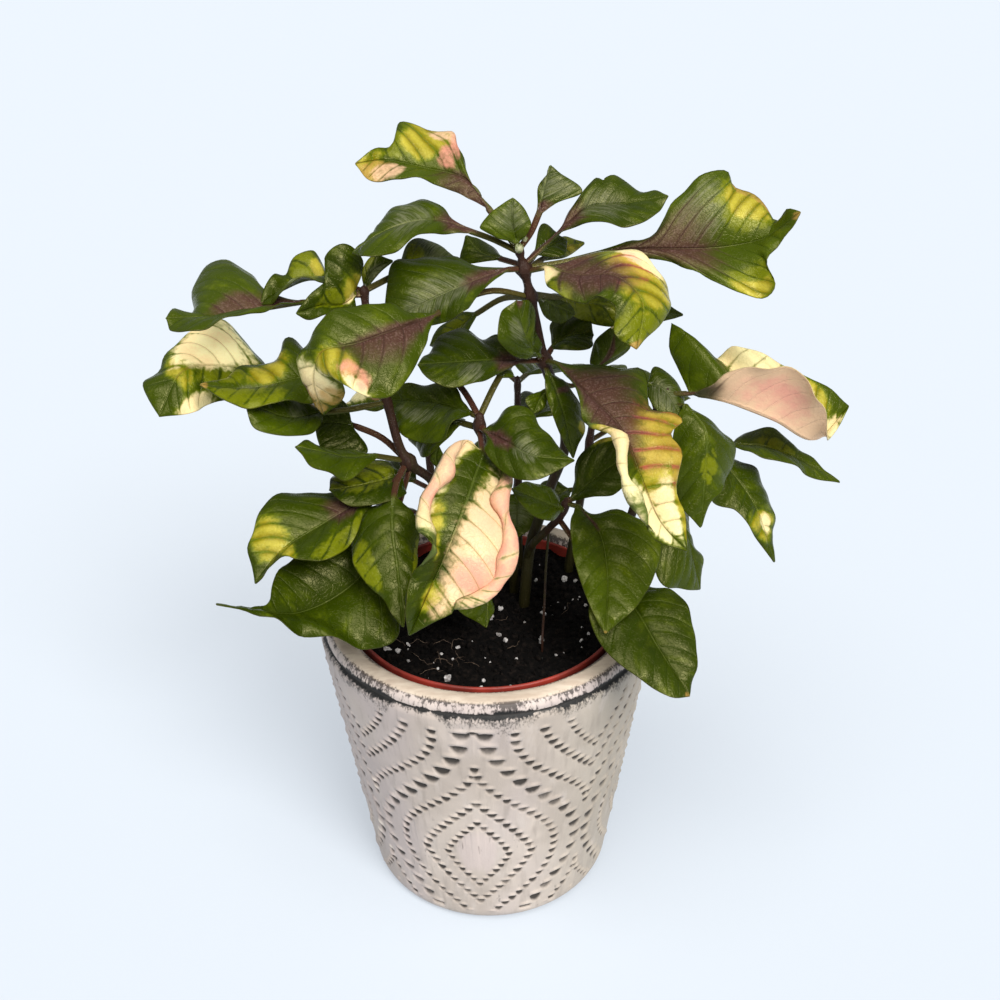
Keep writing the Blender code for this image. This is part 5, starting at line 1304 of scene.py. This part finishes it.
LEFT_LEAVES = {
    "behind_silver": leaf(
        [(-39, -8, 257)],
        [(-28, 0, 260), (-19, 8, 262), (-8, 14, 259)],
        [(-25, 12, 266), (-19, 18, 266), (-14, 18, 264)],
        [(-22, 0, 259), (-16, 4, 259)]),
    "far_left": leaf(
        [(-39, -8, 257), (-51, -8, 253)],
        [(-59, -10, 254), (-72, -14, 253), (-87, -20, 253), (-101, -26, 255)],
        [(-71, -22, 256), (-82, -32, 256), (-92, -34, 254), (-99, -30, 252)],
        [(-66, -6, 254), (-75, 0, 255), (-80, 6, 258), (-87, 10, 263), (-94, 8, 261), (-97, 0, 255),
         (-97, -12, 251), (-100, -20, 256)]),
    "waved_left": leaf(
        [(-40, -7, 257)],
        [(-49, -2, 258), (-58, -2, 259), (-66, -6, 257), (-73, -12, 254)],
        [(-50, -9, 261), (-58, -13, 263), (-64, -15, 260), (-69, -15, 256)],
        [(-52, 4, 259), (-57, 8, 266), (-62, 6, 264), (-66, 0, 260), (-69, -4, 262), (-72, -8, 259)]),
    "grey_upright": leaf(
        [(-39, -8, 254)],
        [(-39, -4, 256), (-36, 0, 261), (-30, 4, 263)],
        [(-40, 0, 261), (-36, 4, 265)],
        [(-37, -4, 258), (-34, -2, 261)]),
    "curled_cup": leaf(
        [(-39, -8, 256)],
        [(-42, -9, 256), (-46, -13, 254), (-52, -16, 255), (-60, -20, 254)],
        [(-41, -14, 254), (-45, -18, 252), (-50, -20, 253), (-57, -21, 252)],
        [(-39, -5, 266), (-45, -6, 272), (-51, -9, 269), (-51, -13, 263), (-56, -17, 259)]),
    "cream_left": leaf(
        [(-39, -9, 248), (-60, -2, 233)],
        [(-74, -4, 225), (-88, -12, 232), (-99, -22, 235), (-106, -34, 224)],
        [(-80, -14, 222), (-90, -24, 224), (-96, -32, 224)],
        [(-81, 6, 230), (-88, 8, 238), (-95, 4, 242), (-101, -2, 241), (-106, -10, 237), (-108, -16, 233),
         (-113, -24, 232)]),
    "yellow_left": leaf(
        [(-37, -11, 239)],
        [(-50, -14, 230), (-61, -18, 230), (-77, -26, 230), (-91, -34, 235)],
        [(-54, -28, 226), (-63, -32, 228), (-72, -36, 228), (-81, -38, 230)],
        [(-60, -4, 233), (-67, -2, 237), (-72, -10, 233), (-80, -16, 233), (-86, -26, 234)]),
    "green_left": leaf(
        [(-33, -14, 219), (-45, -18, 218)],
        [(-54, -20, 218), (-65, -26, 219), (-78, -32, 228)],
        [(-56, -30, 216), (-65, -36, 217), (-74, -38, 221)],
        [(-60, -14, 220), (-72, -20, 225)]),
    "lobed_left": leaf(
        [(-27, -18, 198)],
        [(-37, -24, 203), (-47, -30, 206), (-54, -34, 210), (-62, -36, 213)],
        [(-40, -30, 202), (-46, -38, 201), (-50, -40, 205), (-57, -42, 209), (-60, -40, 213)],
        [(-45, -24, 205), (-54, -26, 207), (-59, -30, 212)]),
    "block_left": leaf(
        [(-28, -17, 197), (-36, -12, 204)],
        [(-46, -10, 208), (-52, -10, 209), (-59, -11, 209)],
        [(-41, -16, 200), (-49, -19, 201), (-56, -20, 203)],
        [(-48, -5, 214), (-53, -2, 216), (-59, -4, 215)]),
    "light_left": leaf(
        [(-27, -18, 197)],
        [(-29, -20, 193), (-36, -24, 193), (-45, -28, 193), (-53, -30, 193)],
        [(-27, -28, 190), (-34, -34, 190), (-47, -36, 191)],
        [(-32, -16, 195), (-42, -14, 195), (-52, -18, 194)]),
    "spotted_left": leaf(
        [(-27, -18, 196), (-30, -23, 194)],
        [(-33, -26, 191), (-45, -31, 187), (-56, -37, 183), (-68, -44, 178), (-77, -54, 171)],
        [(-41, -34, 186), (-45, -46, 181), (-55, -54, 179), (-65, -54, 182), (-71, -54, 177)],
        [(-40, -24, 188), (-52, -24, 188), (-67, -24, 189), (-77, -32, 187), (-80, -42, 179)]),
    "big_low_left": leaf(
        [(-25, -17, 196)],
        [(-33, -26, 174), (-47, -40, 160), (-64, -52, 157), (-76, -63, 166), (-86, -72, 175)],
        [(-30, -44, 156), (-31, -56, 148), (-41, -60, 147), (-52, -62, 154), (-62, -64, 156),
         (-70, -66, 165)],
        [(-38, -22, 172), (-49, -26, 174), (-62, -34, 172), (-71, -44, 169), (-74, -59, 165)]),
    "splashed_front": leaf(
        [(-27, -18, 197), (-30, -26, 194)],
        [(-31, -32, 191), (-31, -42, 184), (-29, -52, 174), (-27, -66, 161)],
        [(-26, -34, 188), (-22, -40, 179), (-24, -52, 172), (-26, -60, 167)],
        [(-41, -32, 185), (-46, -40, 179), (-41, -52, 171), (-33, -60, 166)]),
    "bud_leaf": leaf(
        [(-16, -14, 187)],
        [(-16, -14, 193), (-17, -13, 196), (-16, -12, 200)],
        [(-19, -13, 196)],
        [(-14, -13, 196)]),
}

LEFT_MARKS = {
    "behind_silver": {"silver": [(-0.3, 0.72, 0.7, 0.3)], "lime": [(-0.3, 0.35, 0.5, 0.14)]},
    "far_left": {"purple": [(-0.1, 0.14, 0.6, 0.2), (0.12, 0.46, 0.14, 0.22)]},
    "waved_left": {
        "lime": [(0.5, 0.4, 0.5, 0.2), (-0.6, 0.45, 0.4, 0.16)], "yellow": [(0.35, 0.25, 0.35, 0.08)],
    },
    "grey_upright": {"silver": [(0.35, 0.52, 0.75, 0.38)], "lime": [(-0.75, 0.35, 0.32, 0.3)]},
    "curled_cup": {
        "cream": [(-0.1, 0.12, 0.35, 0.15)], "yellow": [(0.3, 0.15, 0.35, 0.18)],
        "lime": [(0.0, 0.5, 0.35, 0.26)],
    },
    "cream_left": {
        "cream": [(0.4, 0.42, 0.58, 0.28), (-0.9, 0.7, 0.25, 0.16)], "yellow": [(0.15, 0.68, 0.6, 0.08)],
        "lime": [(-0.35, 0.48, 0.25, 0.14)], "painted_glow": [(0.65, 0.42, 0.85, 0.36)],
    },
    "yellow_left": {
        "lime": [(-0.6, 0.68, 0.5, 0.28), (0.6, 0.76, 0.4, 0.1)], "yellow": [(0.42, 0.52, 0.42, 0.15)],
        "silver": [(-0.1, 0.6, 0.25, 0.18)], "orange": [(0.0, 1.0, 1.2, 0.05)],
    },
    "green_left": {"silver": [(0.25, 0.34, 0.4, 0.14)], "orange": [(0.7, 0.14, 0.25, 0.08)]},
    "light_left": {"lime": [(0.25, 0.58, 0.7, 0.5)]},
    "spotted_left": {
        "yellow": [(0.45, 0.76, 0.5, 0.11), (-0.55, 0.72, 0.5, 0.05)], "lime": [(-0.85, 0.4, 0.3, 0.18)],
        "purple": [(0.1, 0.28, 0.5, 0.12)],
    },
    "splashed_front": {"lime": [(0.74, 0.55, 0.28, 0.2), (-0.95, 0.48, 0.16, 0.15)]},
}

grown("left", 2, LEFT_STEM, LEFT_LEAVES, LEFT_MARKS)


# Front stem
# A short stem in front. Its long leaf hangs to the rim, cream and pink round a dark green middle,
# with both margins rolled.

FRONT_STEM = {
    "route": upright(11, 13, (10, 3, 150), (6, -8, 176), (1, -18, 202), (-1, -21, 212), (-1, -21, 217)),
    "thick": (2.0, 1.9, 1.7, 1.4),
}

FRONT_LEAVES = {
    "dark_left": leaf(
        [(-1, -21, 216)],
        [(-4, -18, 216), (-15, -12, 217), (-35, -2, 214)],
        [(-9, -26, 217), (-13, -28, 211), (-25, -20, 207)],
        [(-10, -8, 221), (-18, -4, 221), (-27, -1, 219)]),
    "dark_under": leaf(
        [(-1, -21, 212)],
        [(-8, -15, 211), (-16, -10, 207), (-27, -4, 199)],
        [(-14, -18, 205), (-20, -16, 198)],
        [(-15, -8, 212), (-24, -2, 207)]),
    "tucked_left": leaf(
        [(-1, -21, 216), (-6, -12, 221)],
        [(-10, -5, 223), (-14, 0, 223), (-18, 4, 221)],
        [(-15, -4, 220)],
        [(-11, 4, 222)]),
    "tucked_right": leaf(
        [(-1, -21, 216), (4, -12, 223)],
        [(6, -8, 225), (8, -4, 226), (9, 1, 225)],
        [(4, -3, 226)],
        [(11, -6, 224)]),
    "round_front": leaf(
        [(-1, -22, 213)],
        [(1, -26, 213), (8, -34, 213), (16, -42, 212), (30, -44, 211)],
        [(3, -24, 215), (11, -24, 221), (17, -26, 220), (21, -32, 216), (26, -38, 211)],
        [(3, -40, 209), (10, -48, 207), (17, -50, 207), (25, -48, 210)]),
    "cream_front": leaf(
        [(-1, -22, 211)],
        [(0, -32, 208), (-4, -46, 202), (-9, -58, 193), (-13, -64, 186), (-18, -70, 177),
         (-24, -76, 165)],
        [(4, -32, 204), (9, -36, 199), (7, -44, 194), (11, -54, 187), (9, -62, 180), (0, -68, 173),
         (-9, -74, 173)],
        [(-5, -28, 211), (-12, -32, 209), (-15, -40, 206), (-21, -48, 199), (-21, -58, 194),
         (-17, -66, 194), (-23, -70, 184), (-25, -76, 175)]),
    "low_front": leaf(
        [(7, -15, 172)],
        [(5, -18, 156), (1, -24, 147), (0, -34, 137)],
        [(3, -24, 142)],
        [(-11, -34, 147)]),
}

FRONT_MARKS = {
    "dark_left": {"silver": [(-0.4, 0.62, 0.22, 0.28)]},
    "round_front": {"silver": [(0.0, 0.55, 0.45, 0.15)], "purple": [(0.08, 0.2, 0.35, 0.2)]},
    "cream_front": {
        "cream": [(-0.62, 0.48, 0.52, 0.34), (0.84, 0.28, 0.36, 0.26)],
        "peach": [(-0.55, 0.52, 0.6, 0.36), (0.9, 0.28, 0.35, 0.2)],
        "yellow": [(0.5, 0.5, 0.22, 0.14), (-0.1, 0.8, 0.3, 0.08)],
        "pink": [(-0.88, 0.44, 0.22, 0.26), (0.97, 0.32, 0.14, 0.12), (-0.45, 0.62, 0.3, 0.1)],
        "rolled": [(-1, 0.45, 2.6, 0.42), (1, 0.4, 2.6, 0.36)],
    },
    "low_front": {"lime": [(-0.8, 0.46, 0.3, 0.06)]},
}

grown("front", 3, FRONT_STEM, FRONT_LEAVES, FRONT_MARKS)


# Right stem
# It stands at the right, with the pink leaf rolled like a trumpet and the glossy dark ones under it.

RIGHT_STEM = {
    "route": upright(43, 6, (51, 6, 145), (57, 4, 166), (58, 2, 195), (65, 0, 212), (66, 0, 216)),
    "thick": (2.1, 1.9, 1.7, 1.3),
}

RIGHT_LEAVES = {
    "sheen": leaf(
        [(62, 0, 207)],
        [(59, 2, 217), (64, 0, 216), (70, -8, 209)],
        [(62, 8, 221), (69, 6, 217), (72, 0, 212)],
        [(59, -4, 214), (63, -8, 210)]),
    "pink_trumpet": leaf(
        [(66, 0, 214)],
        [(74, -2, 215), (87, -8, 214), (103, -10, 208), (118, -10, 200), (131, -2, 209)],
        [(68, 10, 227), (68, 14, 236), (74, 14, 228), (84, 12, 222), (90, 10, 228), (98, 8, 226),
         (110, 4, 222), (125, 0, 214)],
        [(82, -12, 225), (90, -14, 230), (101, -16, 231), (108, -18, 229), (116, -18, 219),
         (122, -14, 202)]),
    "narrow_right": leaf(
        [(65, 0, 211), (79, 2, 198)],
        [(92, 4, 191), (104, 4, 190), (118, 4, 184), (133, 2, 176)],
        [(98, 12, 192), (109, 12, 193), (120, 8, 185)],
        [(99, -4, 191), (112, -4, 187), (123, -1, 179)]),
    "glossy": leaf(
        [(65, 0, 210)],
        [(72, -6, 212), (78, -14, 206), (78, -20, 192), (77, -26, 174)],
        [(86, -6, 202), (90, -10, 194), (87, -16, 187), (81, -22, 183)],
        [(69, -9, 209), (66, -14, 198), (67, -19, 184), (72, -24, 179)]),
    "yellow_fold": leaf(
        [(64, 0, 208), (76, 2, 194)],
        [(86, 2, 187), (93, 0, 180), (100, -6, 171), (108, -14, 151)],
        [(95, 8, 183), (102, 8, 178), (107, 2, 171), (108, -4, 163)],
        [(82, -5, 184), (84, -9, 174), (92, -11, 172), (99, -13, 163)]),
    "long_hanging": leaf(
        [(58, 3, 195)],
        [(66, 1, 186), (71, -5, 172), (76, -9, 158), (81, -14, 139)],
        [(74, 0, 168), (78, -4, 157), (82, -9, 146)],
        [(65, -10, 167), (62, -17, 156), (65, -22, 147), (73, -20, 143)]),
}

RIGHT_MARKS = {
    "sheen": {"silver": [(0.2, 0.5, 0.75, 0.45)], "calm": True},
    "pink_trumpet": {
        "pink": [(0.4, 0.45, 0.4, 0.24)],
        "cream": [(-0.45, 0.6, 0.85, 0.2), (0.8, 0.5, 0.35, 0.45), (0.3, 0.85, 0.5, 0.1)],
        "yellow": [(-0.55, 0.82, 0.4, 0.06)], "peach": [(-0.15, 0.5, 0.5, 0.1)],
        "purple": [(0.6, 0.06, 0.7, 0.12)],
    },
    "narrow_right": {"lime": [(-0.2, 0.4, 0.3, 0.2)]},
    "glossy": {"lime": [(-0.1, 0.55, 0.25, 0.14)]},
    "yellow_fold": {"yellow": [(0.1, 0.72, 0.8, 0.12)], "cream": [(-0.15, 0.72, 0.42, 0.09)]},
}

grown("right", 4, RIGHT_STEM, RIGHT_LEAVES, RIGHT_MARKS)


# Back stems
# Three stems behind the others with ordinary leaves, which the photograph hardly shows.

BACK_THICK = (2.0, 1.8, 1.6, 1.2)
# Foot of the stem, its crown, and each leaf's height on it, heading, rise, length, width and droop
BACK_STEMS = {
    "back": ((13, 32), (13, 34, 206), (
        (204, 118, 6, 40, 24, 10), (204, 66, 0, 38, 24, 12), (184, 58, 8, 44, 26, 16),
        (168, 150, 10, 34, 24, 14), (158, 268, 4, 26, 24, 10))),
    "back_left": ((-18, 24), (-24, 34, 196), (
        (194, 168, 6, 40, 24, 12), (178, 80, 4, 36, 22, 8), (160, 146, 6, 42, 24, 12),
        (150, 212, 14, 32, 22, 8), (158, 320, 4, 24, 18, 10))),
    "back_right": ((34, 28), (44, 36, 198), (
        (196, 20, 6, 42, 24, 12), (196, 84, 10, 40, 24, 12), (178, 44, 8, 46, 26, 16),
        (160, 0, 10, 36, 24, 14), (158, 200, 4, 22, 18, 10))),
}

BACK_MARKS = {
    "leaf_0": {"cream": [(0.55, 0.55, 0.4, 0.22)], "pink": [(0.4, 0.35, 0.25, 0.1)]},
    "leaf_1": {"lime": [(-0.5, 0.5, 0.4, 0.2)]},
    "leaf_3": {"yellow": [(-0.6, 0.62, 0.35, 0.2)], "purple": [(0.0, 0.15, 0.5, 0.16)]},
    "leaf_4": {"silver": [(0.0, 0.55, 0.7, 0.3)]},
}

for seed, (name, ((x, y), crown, leaves)) in enumerate(BACK_STEMS.items(), 5):
    route = upright(x, y, ((x + crown[0]) / 2, (y + crown[1]) / 2 - 2, 160), crown)
    foliage = {}
    for i, (height, *form) in enumerate(leaves):
        share = (height - route[0][2]) / (crown[2] - route[0][2])
        root = tuple(np.array(route[0]) * (1 - share) + np.array(crown) * share)
        foliage["leaf_%d" % i] = plain_leaf(root, *form)
    grown(name, seed, {"route": route, "thick": BACK_THICK}, foliage, BACK_MARKS)


# Floor and light
# A plain pale floor that glows a little of its own, a pale sky, one large soft sun from the front
# right, so that the shadow falls softly to the back left, and a wider weak one overhead.

FLOOR_COLOUR = (0.315, 0.342, 0.372)
FLOOR_GLOW = (0.350, 0.377, 0.414)
SKY_COLOUR = (0.92, 0.96, 1.0, 1.0)
SKY_STRENGTH = 0.30
SUN_COLOUR = (1.0, 0.985, 0.96)
SUN_STRENGTH = 2.9
SUN_ANGLE = 26.0                 # how wide the sun looks, degrees
TO_SUN = (0.38, -0.68, 0.74)
OVERHEAD_STRENGTH = 2.4
OVERHEAD_ANGLE = 45.0
TO_OVERHEAD = (-0.12, -0.40, 1.0)

bpy.ops.mesh.primitive_plane_add(size=14, location=(0, 0, 0))
floor = bpy.context.active_object
floor.name = "floor"
floor_paper = blank("floor_paper").material
paper = floor_paper.node_tree.nodes["Principled BSDF"].inputs
paper["Base Color"].default_value = (*FLOOR_COLOUR, 1.0)
paper["Emission Color"].default_value = (*FLOOR_GLOW, 1.0)
paper["Emission Strength"].default_value = 1.0
paper["Roughness"].default_value = 0.9
paper["Specular IOR Level"].default_value = 0.0
floor.data.materials.append(floor_paper)

world = bpy.data.worlds.new("sky")
bpy.context.scene.world = world
world.use_nodes = True
sky = world.node_tree.nodes["Background"].inputs
sky["Color"].default_value = SKY_COLOUR
sky["Strength"].default_value = SKY_STRENGTH


def soft_sun(name, toward, strength, angle):
    light = bpy.data.lights.new(name, "SUN")
    light.energy = strength
    light.angle = math.radians(angle)
    light.color = SUN_COLOUR
    sun = bpy.data.objects.new(name, light)
    sun.rotation_mode = "QUATERNION"
    sun.rotation_quaternion = Vector(toward).to_track_quat("Z", "Y")
    bpy.context.scene.collection.objects.link(sun)


soft_sun("window", TO_SUN, SUN_STRENGTH, SUN_ANGLE)
soft_sun("overhead", TO_OVERHEAD, OVERHEAD_STRENGTH, OVERHEAD_ANGLE)


# Camera
# Where the photograph was taken from: 45 cm away, 30 degrees above the horizon.

CAMERA_TARGET = Vector((0.0057, 0.0, 0.1709))
CAMERA_DISTANCE = 0.451
CAMERA_ELEVATION = 30.1          # degrees, as the roll is
CAMERA_ROLL = -0.66
CAMERA_LENS = 43.2               # mm
CAMERA_SENSOR = 36.0

elevation, roll = math.radians(CAMERA_ELEVATION), math.radians(CAMERA_ROLL)
away = Vector((0.0, -math.cos(elevation), math.sin(elevation)))
level = Vector((1.0, 0.0, 0.0))
above = Vector((0.0, math.sin(elevation), math.cos(elevation)))
camera_x = level * math.cos(roll) + above * math.sin(roll)
camera_y = above * math.cos(roll) - level * math.sin(roll)
lens = bpy.data.cameras.new("photo_camera")
lens.lens = CAMERA_LENS
lens.sensor_width = CAMERA_SENSOR
camera = bpy.data.objects.new("photo_camera", lens)
camera.matrix_world = Matrix.Translation(CAMERA_TARGET + away * CAMERA_DISTANCE) @ Matrix(
    (camera_x, camera_y, away)).transposed().to_4x4()
bpy.context.scene.collection.objects.link(camera)
bpy.context.scene.camera = camera
bpy.context.scene.view_settings.view_transform = "Standard"
